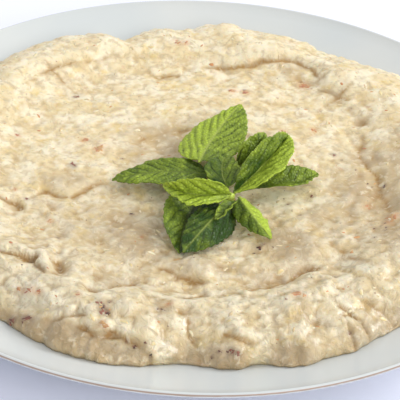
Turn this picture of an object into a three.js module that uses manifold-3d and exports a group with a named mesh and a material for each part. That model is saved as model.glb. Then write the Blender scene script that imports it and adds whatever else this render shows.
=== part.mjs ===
// Baba ganoush spread in a shallow round dish, with a sprig of mint on top.
// Units are millimetres. +Z is up, the dish stands on z = 0 and its axis is the Z axis.
// The front of the dish is towards -Y.

import * as THREE from 'three';
import Module from 'manifold-3d';

const wasm = await Module();
wasm.setup();

// ---------------------------------------------------------------- dimensions

const DISH = {
  rimRadius: 130,       // half of the 260 mm diameter
  rimHeight: 28,
  floorHeight: 8,       // top of the flat floor
  flatRadius: 55,       // the floor is flat out to here, then the wall sweeps up
  sweep: 1.7,           // exponent of the wall's curve
  drop: 2.86,           // thickness of the wall measured straight down
  lipRadius: 0.8,       // rounding of the thin rim
  footOuter: 77,
  footInner: 70,
  footTop: 6.2,         // where the foot ring meets the wall
  footRecess: 3.6,      // height of the underside inside the foot ring
  segments: 64,
};

const DIP = {
  gap: 0.35,            // clearance to the dish all over
  basinHeight: 24.6,    // swept hollow in the middle
  bankHeight: 30.2,     // raised bank round it
  basinRadius: 74,
  crestRadius: 92,
  edgeRadius: 109,      // mean radius where the dip meets the dish
  shoulder: 21,         // width over which the bank rounds down to the dish
  frontShoulder: 26,    // the same at the front, where it slopes down more gently
  bulge: 0.95,          // share of a round end in the shoulder's section
  frontBulge: 0.4,
  slopePower: 1.7,      // exponent of the rest of the section
  edgeThickness: 0.6,   // blunt edge where the dip thins out on the dish
  innerRings: 28,       // ring k has 6 k vertices, so the triangles are even
  outerRings: [0.9, 0.935, 0.965, 0.985, 1],
  innerReach: 0.86,     // share of the radius that the even rings cover
  underside: [[0.93, 84], [0.83, 84], [0.72, 48], [0.5, 24]],
};

// Uneven parts of the dip's shape: height, cell size and seed of each noise.
const BUMPS = {
  swell: { height: 0.8, cell: 22, seed: 1 },
  lump: { height: 1.1, cell: 8.5, seed: 2 },
  pillow: { height: 1, cell: 6.5, seed: 3 },
  outline: { height: 1.5, cell: 9, seed: 5 },
  bendX: { height: 2.2, cell: 7, seed: 11 },    // shifts the lumps sideways
  bendY: { height: 2.2, cell: 7, seed: 12 },
  tearX: { height: 1.3, cell: 6, seed: 11 },    // shifts the spoon marks sideways
  tearY: { height: 1.3, cell: 6, seed: 12 },
  fray: { height: 0.35, cell: 7, seed: 15 },    // makes the spoon marks stronger and weaker
};

// Lobes and notches of the dip's outline: [angle in degrees, reach, half width in degrees].
const EDGE_LOBES = [
  [90, 2.5, 60], [133, 2, 9], [110, -7, 5], [97, -3, 5], [84, 2.5, 5], [58, -2.5, 9],
  [38, 3, 6], [0, 3, 14], [180, 3, 14], [-54, -2.4, 12], [-61, 2.6, 4], [-70, 1.4, 4],
  [-78, -5, 3], [-91, -6.2, 6.5], [-109, 3.4, 9], [-127, -1.4, 6], [-90, 1.4, 45],
];

// Marks that the spoon left. Each is a step along a smooth path: the dip stands up in a
// rounded lip on one side of it (side 1 is left of the way, -1 right) and dips in a groove
// on the other. Both fade out towards the ends of the path.
const SPOON_MARKS = [
  { name: 'far bank lip', side: 1, lip: 1.7, lipWidth: 8, groove: 1.6, grooveWidth: 6,
    path: [[-8, 73.5], [8, 76], [22, 78], [33, 80], [41, 77.5], [47, 70], [46, 63]] },
  { name: 'far bank, right end', side: 1, lip: 1, lipWidth: 6, groove: 1, grooveWidth: 6,
    path: [[46, 63], [53, 58], [60, 50]] },
  { name: 'far left bank', side: 1, lip: 1, lipWidth: 10, groove: 0.8, grooveWidth: 8,
    path: [[-76, 34], [-66, 57], [-52, 69], [-40, 76], [-30, 80]] },
  { name: 'small far lip', side: 1, lip: 1.2, lipWidth: 4, groove: 0.8, grooveWidth: 4,
    path: [[-22, 67.5], [-15, 69.5], [-8, 69]] },
  { name: 'sweep behind the mint', side: 1, lip: 0.5, lipWidth: 5, groove: 1, grooveWidth: 10,
    path: [[-27, 19], [-16, 26], [-3, 29]] },
  { name: 'left step', side: 1, lip: 1.2, lipWidth: 6, groove: 1.3, grooveWidth: 7,
    path: [[-63, -24], [-57, -17.5], [-51, -20], [-46, -19], [-38, -13], [-29, -11.5]] },
  { name: 'left step, outer', side: 1, lip: 1, lipWidth: 4, groove: 1, grooveWidth: 4,
    path: [[-76, -24], [-69, -26.5], [-62, -28.5]] },
  { name: 'left bank pocket', side: 1, lip: 1.4, lipWidth: 5, groove: 2.2, grooveWidth: 4,
    path: [[-69, -61], [-62, -62], [-57, -62.5], [-53, -65]] },
  { name: 'left bank fold', side: 1, lip: 1.5, lipWidth: 3, groove: 1.8, grooveWidth: 3.5,
    path: [[-56, -60], [-54, -67], [-50, -73]] },
  { name: 'near left crest', side: -1, lip: 1.6, lipWidth: 8, groove: 2, grooveWidth: 5,
    path: [[-42, -76], [-34, -81.5], [-28, -75], [-22, -72.5], [-15, -71]] },
  { name: 'near crest', side: -1, lip: 1, lipWidth: 8, groove: 1.6, grooveWidth: 8,
    path: [[-14, -76], [-8, -80], [-1, -78], [5, -74]] },
  { name: 'step in front of the mint', side: 1, lip: 1.6, lipWidth: 7, groove: 1.3, grooveWidth: 6,
    path: [[-15, -60], [-7, -64], [1, -68], [6, -70]] },
  { name: 'near right crest', side: -1, lip: 1.2, lipWidth: 9, groove: 2, grooveWidth: 6,
    path: [[14, -77], [22, -71.5], [31, -67], [35, -62], [40, -58.5], [47, -57]] },
  { name: 'right bank', side: 1, lip: 1.2, lipWidth: 9, groove: 1.4, grooveWidth: 9,
    path: [[66, 38], [62, 16], [66, 2], [69, -16], [68, -36]] },
  { name: 'tongue, upper crease', side: -1, lip: 0.4, lipWidth: 4, groove: 0.5, grooveWidth: 1.6,
    path: [[-50, -92], [-45, -94], [-38, -95], [-33, -98]] },
  { name: 'tongue, underside', side: 1, lip: 1.2, lipWidth: 3, groove: 1.3, grooveWidth: 3,
    path: [[-40, -98], [-34, -100], [-28, -101], [-24, -99]] },
  { name: 'front fold', side: 1, lip: 1.2, lipWidth: 3, groove: 1.7, grooveWidth: 4,
    path: [[-29, -99], [-24, -102], [-19, -104], [-12, -107]] },
  { name: 'front pocket', side: 1, lip: 1, lipWidth: 4, groove: 1, grooveWidth: 4,
    path: [[-18, -84], [-12, -84.5], [-6, -86]] },
  { name: 'front gully', side: -1, lip: 0.6, lipWidth: 5, groove: 1.2, grooveWidth: 4,
    path: [[-6, -85], [-2, -93], [1, -101], [3, -108]] },
  { name: 'front fold, right', side: 1, lip: 1, lipWidth: 4, groove: 1.1, grooveWidth: 4,
    path: [[8, -98], [15, -100], [23, -99]] },
  { name: 'long groove', side: 1, lip: 0.4, lipWidth: 3, groove: 1.6, grooveWidth: 1.6,
    path: [[47, -82.5], [52, -86], [57, -89], [62, -94]] },
  { name: 'short groove', side: 1, lip: 0.4, lipWidth: 3, groove: 1.1, grooveWidth: 1.6,
    path: [[49, -85], [51, -91], [53, -97], [53, -101]] },
  { name: 'right slope', side: 1, lip: 0.8, lipWidth: 9, groove: 1.2, grooveWidth: 8,
    path: [[52, -76], [62, -79], [68, -84], [74, -88]] },
];

// Round heaps and hollows: [x, y, height, radius along, radius across, turn in degrees].
const HEAPS = [
  [-46.5, -67, -4, 3, 6, 10], [-13, 16, -1.3, 14, 10, 20], [42, 68, -2, 7, 6, -40],
  [63, 38, -2.2, 3.5, 3, 0], [-27, 78, -0.8, 8, 4, 20], [40, -52, 1.6, 7, 9, 0],
  [3, -62, 1.4, 5, 5, 0], [-40, -62, 1.5, 4, 8, 10], [-42, 92, 0.4, 8, 7, 0],
  [8, 100, 1.5, 9, 7, 0], [40, 0, -0.6, 14, 10, 0], [-30, -35, -0.8, 22, 12, 0],
  [-15, 96, 0.8, 7, 5, 0], [-68, 72, 1.8, 34, 16, 45], [45, 86, -2.4, 14, 10, -30],
  [-34, -79, -1.8, 2.5, 3.5, 20], [-48, -87, 1, 3, 3, 0], [-52, -88, -0.9, 2.5, 3, 0],
  [-11, -88, -1.8, 5, 3.5, -20], [-9, -104, 1.5, 6, 4, -20], [-2, -104, -1.4, 2.5, 5, 0],
  [36.5, -60, -1.3, 3.5, 2, 45], [31, -58, 1, 5, 3, 20], [41, -91, -1.4, 5, 4, 0],
  [18, -95, 1, 7, 3.5, 0], [22.5, -103, 2.2, 3.6, 6, 0], [13, -104, 1.2, 6, 4.5, 0],
  [28, -104, -1, 1.6, 6, 0], [33, -103, -0.8, 4, 5, 0], [43, -99, 1.1, 6, 4, 20],
  [-60, -84, -0.8, 9, 5, -40], [57, -94, 1.2, 2.5, 5, 30], [-22, -92, 0.9, 6, 4, 0],
  [8, -46, -0.8, 9, 8, 0],
];

// Flakes of charred skin and of roasted flesh that stand out of the dip: [x, y, length].
const FLAKES = [
  [-51, 44, 3.4], [-47, -7, 3.6], [-28, -21, 2.6], [-24, -33, 2.6], [-27, -93, 3.4],
  [21, -52, 3.2], [48, -66, 2.4], [62, -10, 2.4], [68, -11, 2.2], [12, -108, 3.2],
  [-11, -87, 3.4], [-8, 92, 4], [14, 54, 4], [41, 63, 3.6], [34, -78, 3.2],
  [-35, 5, 3.2], [66, -36, 2.8], [32, -24, 2.4], [-30, -102, 3],
];
const FLAKE = { scattered: 12, flat: 0.55, thick: 0.55, seed: 11, sprigClearance: 52 };

const LEAF = {
  thickness: 0.5,
  stalkHalfWidth: 0.6,
  tipHalfWidth: 0.3,
  foldFrom: 3,          // the halves are folded in full where they are at least this wide
  tipTaper: 0.8,        // exponents of the leaf's outline towards the tip and the stalk
  stalkTaper: 0.42,
  rows: 10,
  wave: 0.35,           // height of the ripple along the margin
  waves: 3,
};

// One entry for each mint leaf. base and tip are the ends of the midrib, width is across
// the blade, arch lifts the midrib and sweep bends it sideways, roll turns the blade about
// the midrib, and foldLeft and foldRight lift its halves. Angles are in degrees.
const MINT_LEAVES = [
  { name: 'left', base: [2.6, -8.8, 28.7], tip: [-32.2, -11.9, 26.4], width: 18,
    arch: 2.4, sweep: 0.2, roll: 1, foldLeft: 1, foldRight: 0, stalk: 0.8 },
  { name: 'far', base: [0.2, -5.2, 32.6], tip: [14.8, 33.8, 33.6], width: 25,
    arch: -0.4, sweep: 1.8, roll: -10, foldLeft: -7, foldRight: -8, stalk: 1.5 },
  { name: 'far_small', base: [14, -2.2, 28.8], tip: [24, 11.8, 34.8], width: 10.4,
    arch: 2, sweep: -1.4, roll: 12, foldLeft: 44, foldRight: 40, stalk: 5 },
  { name: 'right', base: [13.3, -22.3, 30.8], tip: [32.8, 9.9, 35.6], width: 22.7,
    arch: 1.8, sweep: -0.9, roll: 34, foldLeft: 54, foldRight: 59, stalk: 1 },
  { name: 'right_low', base: [21, -12.9, 26.6], tip: [44.4, -2.2, 26.4], width: 15.6,
    arch: 2, sweep: -3.4, roll: 15, foldLeft: 22, foldRight: 45, stalk: 9 },
  { name: 'front_left', base: [10.9, -26.8, 32.4], tip: [-13, -20.8, 31.2], width: 14.6,
    arch: 5, sweep: 2.3, roll: -48, foldLeft: 50, foldRight: 46, stalk: 0.8 },
  { name: 'front_deep', base: [0, -20.6, 26], tip: [-5.9, -55.4, 26.6], width: 19,
    arch: 0.8, sweep: -1.4, roll: -6, foldLeft: 2, foldRight: 16, stalk: 5 },
  { name: 'front', base: [10.9, -29.6, 29.6], tip: [-4.5, -56.9, 28], width: 17.2,
    arch: 3.2, sweep: 0, roll: -20, foldLeft: -26, foldRight: -30, stalk: 1 },
  { name: 'front_right', base: [14.9, -27.4, 31.4], tip: [26, -45.6, 27.2], width: 11.4,
    arch: 1.8, sweep: -1.1, roll: 1, foldLeft: -30, foldRight: -30, stalk: 0.8 },
  { name: 'front_small', base: [12.9, -31.2, 32.4], tip: [6.4, -43.4, 33], width: 7,
    arch: -0.6, sweep: 0, roll: 20, foldLeft: 37, foldRight: 40, stalk: 0.8 },
  { name: 'middle', base: [10.2, -21.6, 32.2], tip: [9.8, -2.6, 33.4], width: 14,
    arch: 0.4, sweep: 1.8, roll: -6, foldLeft: 22, foldRight: 20, stalk: 0.8 },
];

const STEM = {
  side: 2.2,            // mint has a square stem
  steps: 10,
  path: [[4.6, -3, 26.4], [4.2, -10, 27], [8, -18, 28.3], [11.8, -25.2, 30]],
};

const COLOURS = {
  dish: 0xe4e7e6, dip: 0xeadbb9, leaf: 0x6b9a2c, stem: 0x9db85a,
};

// ------------------------------------------------------------------- helpers

const degrees = (angle) => angle * Math.PI / 180;
const clamp = THREE.MathUtils.clamp;

function smoothStep(from, to, value) {
  const t = clamp((value - from) / (to - from), 0, 1);
  return t * t * (3 - 2 * t);
}

// A fixed pseudo-random value from -1 to 1 for each lattice point.
function latticeValue(i, j, seed) {
  const wave = Math.sin(i * 127.1 + j * 311.7 + seed * 74.7) * 43758.5453;
  return (wave - Math.floor(wave)) * 2 - 1;
}

// Smooth noise from -1 to 1 whose bumps are about one cell wide.
function noise(x, y, cell, seed) {
  const i = Math.floor(x / cell);
  const j = Math.floor(y / cell);
  const u = smoothStep(0, 1, x / cell - i);
  const v = smoothStep(0, 1, y / cell - j);
  const near = THREE.MathUtils.lerp(latticeValue(i, j, seed), latticeValue(i + 1, j, seed), u);
  const far = THREE.MathUtils.lerp(latticeValue(i, j + 1, seed), latticeValue(i + 1, j + 1, seed), u);
  return THREE.MathUtils.lerp(near, far, v);
}

const bumps = ({ height, cell, seed }, x, y) => height * noise(x, y, cell, seed);

// Soft swellings with sharp creases between them.
const pillows = ({ height, cell, seed }, x, y) => height * (Math.abs(noise(x, y, cell, seed)) - 0.3);

function solidMesh(name, geometry, colour, roughness) {
  const material = new THREE.MeshStandardMaterial({ color: colour, roughness, metalness: 0 });
  const mesh = new THREE.Mesh(geometry, material);
  mesh.name = name;
  return mesh;
}

function indexedGeometry(points, triangles) {
  const geometry = new THREE.BufferGeometry();
  geometry.setAttribute('position', new THREE.BufferAttribute(new Float32Array(points.flat()), 3));
  geometry.setIndex(triangles.flat());
  return geometry;
}

// ---------------------------------------------------------------------- dish

// Height of the dish's inner face at a radius.
function dishHeight(radius) {
  const along = Math.max(radius - DISH.flatRadius, 0) / (DISH.rimRadius - DISH.flatRadius);
  return DISH.floorHeight + (DISH.rimHeight - DISH.floorHeight) * along ** DISH.sweep;
}

// One closed turn: inner face outwards, over the rim, down the wall and across the foot.
function makeDish() {
  const profile = [new THREE.Vector2(0, DISH.floorHeight)];
  for (const radius of [DISH.flatRadius, 68, 80, 92, 104, 115, 124]) {
    profile.push(new THREE.Vector2(radius, dishHeight(radius)));
  }
  const lip = DISH.lipRadius;
  for (const turn of [140, 75, 10, -50]) {
    profile.push(new THREE.Vector2(
      DISH.rimRadius - lip + lip * Math.cos(degrees(turn)),
      DISH.rimHeight - lip + lip * Math.sin(degrees(turn)),
    ));
  }
  for (const radius of [125, 118, 106, 94, 83]) {
    profile.push(new THREE.Vector2(radius, dishHeight(radius) - DISH.drop));
  }
  profile.push(
    new THREE.Vector2(DISH.footOuter, DISH.footTop),
    new THREE.Vector2(DISH.footOuter - 0.6, 1),
    new THREE.Vector2(DISH.footOuter - 1.6, 0),
    new THREE.Vector2(DISH.footInner + 1, 0),
    new THREE.Vector2(DISH.footInner, 1),
    new THREE.Vector2(DISH.footInner - 0.6, DISH.footRecess),
    new THREE.Vector2(0, DISH.footRecess),
  );
  const geometry = new THREE.LatheGeometry(profile.reverse(), DISH.segments);
  geometry.rotateX(Math.PI / 2);
  return solidMesh('dish', geometry, COLOURS.dish, 0.15);
}

// ----------------------------------------------------------------------- dip

// Radius of the dip's outline at an angle in degrees.
function edgeRadius(angle) {
  let radius = DIP.edgeRadius;
  for (const [middle, reach, halfWidth] of EDGE_LOBES) {
    const apart = ((angle - middle + 540) % 360) - 180;
    radius += reach * Math.exp(-((apart / halfWidth) ** 2));
  }
  const x = DIP.edgeRadius * Math.cos(degrees(angle));
  const y = DIP.edgeRadius * Math.sin(degrees(angle));
  return radius + pillows(BUMPS.outline, x, y);
}

// Points along a smooth curve through a mark's path.
function smoothPath(path) {
  const curve = new THREE.SplineCurve(path.map(([x, y]) => new THREE.Vector2(x, y)));
  return curve.getPoints(8 * (path.length - 1));
}

const marks = SPOON_MARKS.map((mark) => ({ ...mark, line: smoothPath(mark.path) }));

// The nearest point of a line: its distance, its share of the way, and the side we are on.
function nearestOnLine(line, x, y) {
  let best = { distance: Infinity, side: 1, along: 0 };
  for (let k = 0; k + 1 < line.length; k += 1) {
    const [a, b] = [line[k], line[k + 1]];
    const [wayX, wayY] = [b.x - a.x, b.y - a.y];
    const [offX, offY] = [x - a.x, y - a.y];
    const t = clamp((offX * wayX + offY * wayY) / (wayX * wayX + wayY * wayY), 0, 1);
    const distance = Math.hypot(offX - t * wayX, offY - t * wayY);
    if (distance < best.distance) {
      const side = wayX * offY - wayY * offX < 0 ? -1 : 1;
      best = { distance, side, along: (k + t) / (line.length - 1) };
    }
  }
  return best;
}

function markHeight(mark, x, y) {
  const { distance, side, along } = nearestOnLine(mark.line, x, y);
  const high = side * mark.side > 0;
  const reach = high ? 1.6 * mark.lipWidth : mark.grooveWidth;
  const fade = smoothStep(0, 0.25, along) * (1 - smoothStep(0.75, 1, along))
    * (1 - smoothStep(2, 3.2, distance / reach));
  if (fade === 0) return 0;
  const groove = mark.groove * Math.exp(-distance / (high ? 0.5 * mark.grooveWidth : mark.grooveWidth));
  if (!high) return -fade * groove;
  // The lip rounds up from the step and then sinks slowly back.
  const round = 0.7 * mark.lipWidth;
  const rise = 1 - (1 - clamp(distance / round, 0, 1)) ** 2;
  const sink = Math.exp(-Math.max(distance - round, 0) / (1.6 * mark.lipWidth));
  return fade * (mark.lip * rise * sink - groove);
}

function heapHeight([middleX, middleY, height, along, across, turn], x, y) {
  const [c, s] = [Math.cos(degrees(turn)), Math.sin(degrees(turn))];
  const [dx, dy] = [x - middleX, y - middleY];
  return height * Math.exp(-(((dx * c + dy * s) / along) ** 2) - ((-dx * s + dy * c) / across) ** 2);
}

// 1 at the front of the dish, where the bank slopes down gently, and 0 behind.
const facingFront = (turn) => 1 - smoothStep(-0.7, 0.1, Math.sin(turn));

// Share of the bank's height left at a share of the way out over the shoulder.
function flank(outwards, front) {
  const bulge = THREE.MathUtils.lerp(DIP.bulge, DIP.frontBulge, front);
  const roundEnd = Math.sqrt(Math.max(1 - outwards ** 2, 0));
  return bulge * roundEnd + (1 - bulge) * (1 - outwards ** DIP.slopePower);
}

// Height of the dip's top face, from the level of the dish at its edge upwards.
function dipHeight(x, y) {
  const radius = Math.hypot(x, y);
  const turn = Math.atan2(y, x);
  const basin = DIP.basinRadius - 3 * Math.cos(turn) - 3 * Math.cos(2 * turn);
  const bank = smoothStep(basin - 6, DIP.crestRadius, radius);
  let height = DIP.basinHeight + (DIP.bankHeight - DIP.basinHeight) * bank;
  height += bumps(BUMPS.swell, x, y);
  const tornX = x + bumps(BUMPS.tearX, x, y);
  const tornY = y + bumps(BUMPS.tearY, x, y);
  const strength = 1 + bumps(BUMPS.fray, x, y);
  for (const mark of marks) height += strength * markHeight(mark, tornX, tornY);
  for (const heap of HEAPS) height += heapHeight(heap, x, y);
  // The lumps are coarser towards the front and the right, and coarsest on the bank.
  const coarse = 0.6 * (1 - smoothStep(-90, 20, y)) + 0.4 * smoothStep(-20, 90, x);
  const rough = 0.45 + 0.65 * bank * coarse + 0.35 * coarse;
  const bentX = x + bumps(BUMPS.bendX, x, y);
  const bentY = y + bumps(BUMPS.bendY, x, y);
  height += rough * bumps(BUMPS.lump, bentX, bentY);
  height += rough * pillows(BUMPS.pillow, bentX * 0.8 + bentY * 0.6, bentY * 0.8 - bentX * 0.6);
  const edge = edgeRadius(turn * 180 / Math.PI);
  const front = facingFront(turn);
  const shoulder = THREE.MathUtils.lerp(DIP.shoulder, DIP.frontShoulder, front);
  const outwards = clamp((radius - edge + shoulder) / shoulder, 0, 1);
  const contact = dishHeight(edge) + DIP.gap + DIP.edgeThickness;
  return contact + (height - contact) * flank(outwards, front);
}

// A ring of points at a share of the way out to the dip's wavy outline.
function ringPoints(share, count, heightAt) {
  const points = [];
  for (let k = 0; k < count; k += 1) {
    const angle = 360 * k / count;
    const wavy = edgeRadius(angle) - DIP.edgeRadius;
    const radius = share * (DIP.edgeRadius + wavy * share ** 4);
    const x = radius * Math.cos(degrees(angle));
    const y = radius * Math.sin(degrees(angle));
    points.push([x, y, heightAt(x, y, share)]);
  }
  return points;
}

// Triangles between two rings of any two counts, each given by its first index and count.
function stitchRings(inner, outer) {
  const triangles = [];
  let [i, j] = [0, 0];
  while (i < inner.count || j < outer.count) {
    const a = inner.start + i % inner.count;
    const b = outer.start + j % outer.count;
    const stepInner = (i + 1) / inner.count < (j + 1) / outer.count;
    if (stepInner && inner.count > 1) {
      triangles.push([a, b, inner.start + (i + 1) % inner.count]);
    } else if (!stepInner) {
      triangles.push([a, b, outer.start + (j + 1) % outer.count]);
    }
    if (stepInner) i += 1;
    else j += 1;
  }
  return triangles;
}

// The dip without its flakes: top face, blunt edge and underside that follows the dish.
function dipBody() {
  const points = [[0, 0, dipHeight(0, 0)]];
  const topRings = [{ start: 0, count: 1 }];
  const shares = [];
  for (let k = 1; k <= DIP.innerRings; k += 1) {
    shares.push([DIP.innerReach * k / DIP.innerRings, 6 * k]);
  }
  for (const share of DIP.outerRings) shares.push([share, 6 * DIP.innerRings]);
  const onDish = (x, y) => dishHeight(Math.hypot(x, y)) + DIP.gap;
  const edgeTop = (x, y) => onDish(x, y) + DIP.edgeThickness;
  for (const [share, count] of shares) {
    topRings.push({ start: points.length, count });
    points.push(...ringPoints(share, count, share < 1 ? dipHeight : edgeTop));
  }
  const underRings = [];
  for (const [share, count] of [[1, 6 * DIP.innerRings], ...DIP.underside]) {
    underRings.push({ start: points.length, count });
    points.push(...ringPoints(share, count, onDish));
  }
  underRings.push({ start: points.length, count: 1 });
  points.push([0, 0, onDish(0, 0)]);

  const triangles = [];
  for (let k = 0; k + 1 < topRings.length; k += 1) {
    triangles.push(...stitchRings(topRings[k], topRings[k + 1]));
  }
  triangles.push(...stitchRings(topRings.at(-1), underRings[0]));
  for (let k = 0; k + 1 < underRings.length; k += 1) {
    const flipped = stitchRings(underRings[k + 1], underRings[k]).map(([a, b, c]) => [a, c, b]);
    triangles.push(...flipped);
  }
  return indexedGeometry(points, triangles);
}

function toManifold(geometry) {
  return new wasm.Manifold(new wasm.Mesh({
    numProp: 3,
    vertProperties: new Float32Array(geometry.getAttribute('position').array),
    triVerts: new Uint32Array(geometry.getIndex().array),
  }));
}

function fromManifold(solid) {
  const mesh = solid.getMesh();
  const geometry = new THREE.BufferGeometry();
  geometry.setAttribute('position', new THREE.BufferAttribute(new Float32Array(mesh.vertProperties), 3));
  geometry.setIndex(Array.from(mesh.triVerts));
  return geometry;
}

// A flake is a flat chip with five corners, half sunk in the dip.
function flakeGeometry(x, y, length, turn) {
  const points = [];
  const half = [length / 2, FLAKE.flat * length / 2];
  const rings = [[-FLAKE.thick, 0.5], [0, 1], [FLAKE.thick, 0.55]];
  const middle = new THREE.Vector3(x, y, dipHeight(x, y));
  for (const [lift, spread] of rings) {
    for (let k = 0; k < 5; k += 1) {
      const angle = 2 * Math.PI * k / 5;
      const corner = new THREE.Vector3(half[0] * spread * Math.cos(angle), half[1] * spread * Math.sin(angle), lift);
      corner.applyAxisAngle(new THREE.Vector3(0, 0, 1), turn).add(middle);
      points.push(corner.toArray());
    }
  }
  const triangles = [];
  for (let k = 0; k < 5; k += 1) {
    const next = (k + 1) % 5;
    for (const low of [0, 5]) {
      triangles.push([low + k, low + next, low + 5 + next], [low + k, low + 5 + next, low + 5 + k]);
    }
    if (k > 0 && k < 4) triangles.push([0, k + 1, k], [10, 10 + k, 11 + k]);
  }
  return indexedGeometry(points, triangles);
}

// The named flakes, and more scattered by a seeded rule, all clear of the mint.
function flakePlaces() {
  const places = FLAKES.map(([x, y, length], k) => [x, y, length, 2.4 * k]);
  for (let k = 0; places.length < FLAKES.length + FLAKE.scattered; k += 1) {
    const radius = 96 * Math.sqrt(0.5 + 0.5 * latticeValue(k, 1, FLAKE.seed));
    const turn = Math.PI * latticeValue(k, 2, FLAKE.seed);
    const [x, y] = [radius * Math.cos(turn), radius * Math.sin(turn)];
    if (Math.hypot(x - 5, y + 10) > FLAKE.sprigClearance) {
      places.push([x, y, 2.4 + 0.5 * latticeValue(k, 3, FLAKE.seed), 3 * turn]);
    }
  }
  return places;
}

function makeDip() {
  let solid = toManifold(dipBody());
  for (const [x, y, length, turn] of flakePlaces()) {
    solid = solid.add(toManifold(flakeGeometry(x, y, length, turn)));
  }
  return solidMesh('baba_ganoush', fromManifold(solid), COLOURS.dip, 0.5);
}

// ---------------------------------------------------------------------- mint

function leafOutline(u) {
  const { tipTaper, stalkTaper } = LEAF;
  const widest = stalkTaper / (tipTaper + stalkTaper);
  const shape = (t) => (1 - t) ** tipTaper * t ** stalkTaper;
  return shape(clamp(u, 0, 1)) / shape(widest);
}

// The leaf's middle surface: u runs from stalk to tip, v from -1 on the right edge to 1.
function leafSurface(leaf) {
  const base = new THREE.Vector3(...leaf.base);
  const way = new THREE.Vector3(...leaf.tip).sub(base);
  const length = way.length();
  const forward = way.clone().divideScalar(length);
  const left = new THREE.Vector3(0, 0, 1).cross(forward).normalize();
  const up = forward.clone().cross(left);
  left.applyAxisAngle(forward, degrees(leaf.roll));
  up.applyAxisAngle(forward, degrees(leaf.roll));
  return (u, v) => {
    const bow = 4 * u * Math.max(1 - u, 0) * (u > 0 ? 1 : 0);
    const least = u < 1 ? LEAF.stalkHalfWidth : LEAF.tipHalfWidth;
    const halfWidth = Math.max(leaf.width / 2 * leafOutline(u), least);
    const out = Math.abs(v) * halfWidth;
    const folded = Math.min(halfWidth / LEAF.foldFrom, 1);
    const fold = degrees(v > 0 ? leaf.foldLeft : leaf.foldRight) * folded;
    const ripple = LEAF.wave * v * v * bow * Math.sin(2 * Math.PI * LEAF.waves * u + 2 * v);
    return base.clone()
      .addScaledVector(forward, length * u)
      .addScaledVector(left, leaf.sweep * bow + Math.sign(v) * out * Math.cos(fold))
      .addScaledVector(up, leaf.arch * bow + out * Math.sin(fold) + ripple);
  };
}

// A thin shell round the middle surface, both faces on the same grid.
function makeLeaf(leaf) {
  const surface = leafSurface(leaf);
  const length = new THREE.Vector3(...leaf.tip).distanceTo(new THREE.Vector3(...leaf.base));
  const stations = [-leaf.stalk / length];
  for (let k = 0; k < LEAF.rows; k += 1) {
    stations.push(0.02 + 0.98 * (1 - Math.cos(Math.PI * k / (LEAF.rows - 1))) / 2);
  }
  const columns = [-1, -0.5, 0, 0.5, 1];
  const nudge = 0.01;
  const faces = [1, -1].map((face) => stations.map((u) => columns.map((v) => {
    const middle = surface(u, v);
    const alongU = surface(Math.min(u + nudge, 1), v).sub(surface(Math.min(u, 1 - nudge), v));
    const alongV = surface(u, Math.min(v + nudge, 1)).sub(surface(u, Math.max(v - nudge, -1)));
    const normal = alongU.cross(alongV).normalize();
    return middle.addScaledVector(normal, face * LEAF.thickness / 2).toArray();
  })));
  const points = faces.flat(2);
  const wide = columns.length;
  const index = (face, i, j) => (face * stations.length + i) * wide + j;
  const triangles = [];
  const quad = (a, b, c, d) => triangles.push([a, b, c], [a, c, d]);
  for (let i = 0; i + 1 < stations.length; i += 1) {
    for (let j = 0; j + 1 < wide; j += 1) {
      quad(index(0, i, j), index(0, i + 1, j), index(0, i + 1, j + 1), index(0, i, j + 1));
      // The lower face is split along the same diagonal as the upper one.
      const [a, b] = [index(1, i, j), index(1, i + 1, j)];
      const [c, d] = [index(1, i + 1, j + 1), index(1, i, j + 1)];
      triangles.push([a, c, b], [a, d, c]);
    }
    quad(index(0, i + 1, 0), index(0, i, 0), index(1, i, 0), index(1, i + 1, 0));
    quad(index(0, i, wide - 1), index(0, i + 1, wide - 1), index(1, i + 1, wide - 1), index(1, i, wide - 1));
  }
  const last = stations.length - 1;
  for (let j = 0; j + 1 < wide; j += 1) {
    quad(index(0, 0, j), index(0, 0, j + 1), index(1, 0, j + 1), index(1, 0, j));
    quad(index(0, last, j + 1), index(0, last, j), index(1, last, j), index(1, last, j + 1));
  }
  return solidMesh(`mint_leaf_${leaf.name}`, indexedGeometry(points, triangles), COLOURS.leaf, 0.5);
}

function makeStem() {
  const half = STEM.side / 2;
  const section = new THREE.Shape([
    new THREE.Vector2(-half, -half), new THREE.Vector2(half, -half),
    new THREE.Vector2(half, half), new THREE.Vector2(-half, half),
  ]);
  const path = new THREE.CatmullRomCurve3(STEM.path.map((point) => new THREE.Vector3(...point)));
  const geometry = new THREE.ExtrudeGeometry(section, { steps: STEM.steps, extrudePath: path });
  return solidMesh('mint_stem', geometry, COLOURS.stem, 0.5);
}

// --------------------------------------------------------------- whole object

const dish = new THREE.Group();
dish.add(makeDish(), makeDip());

const sprig = new THREE.Group();
sprig.add(makeStem(), ...MINT_LEAVES.map(makeLeaf));

const babaGanoush = new THREE.Group();
babaGanoush.add(dish, sprig);

export default babaGanoush;
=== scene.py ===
"""Baba ganoush spread in a shallow porcelain dish, with a sprig of mint on top."""

import math

import bmesh
import bpy
import numpy as np
from bpy.props import FloatProperty, FloatVectorProperty, IntProperty, PointerProperty
from mathutils import Matrix, Vector


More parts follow.
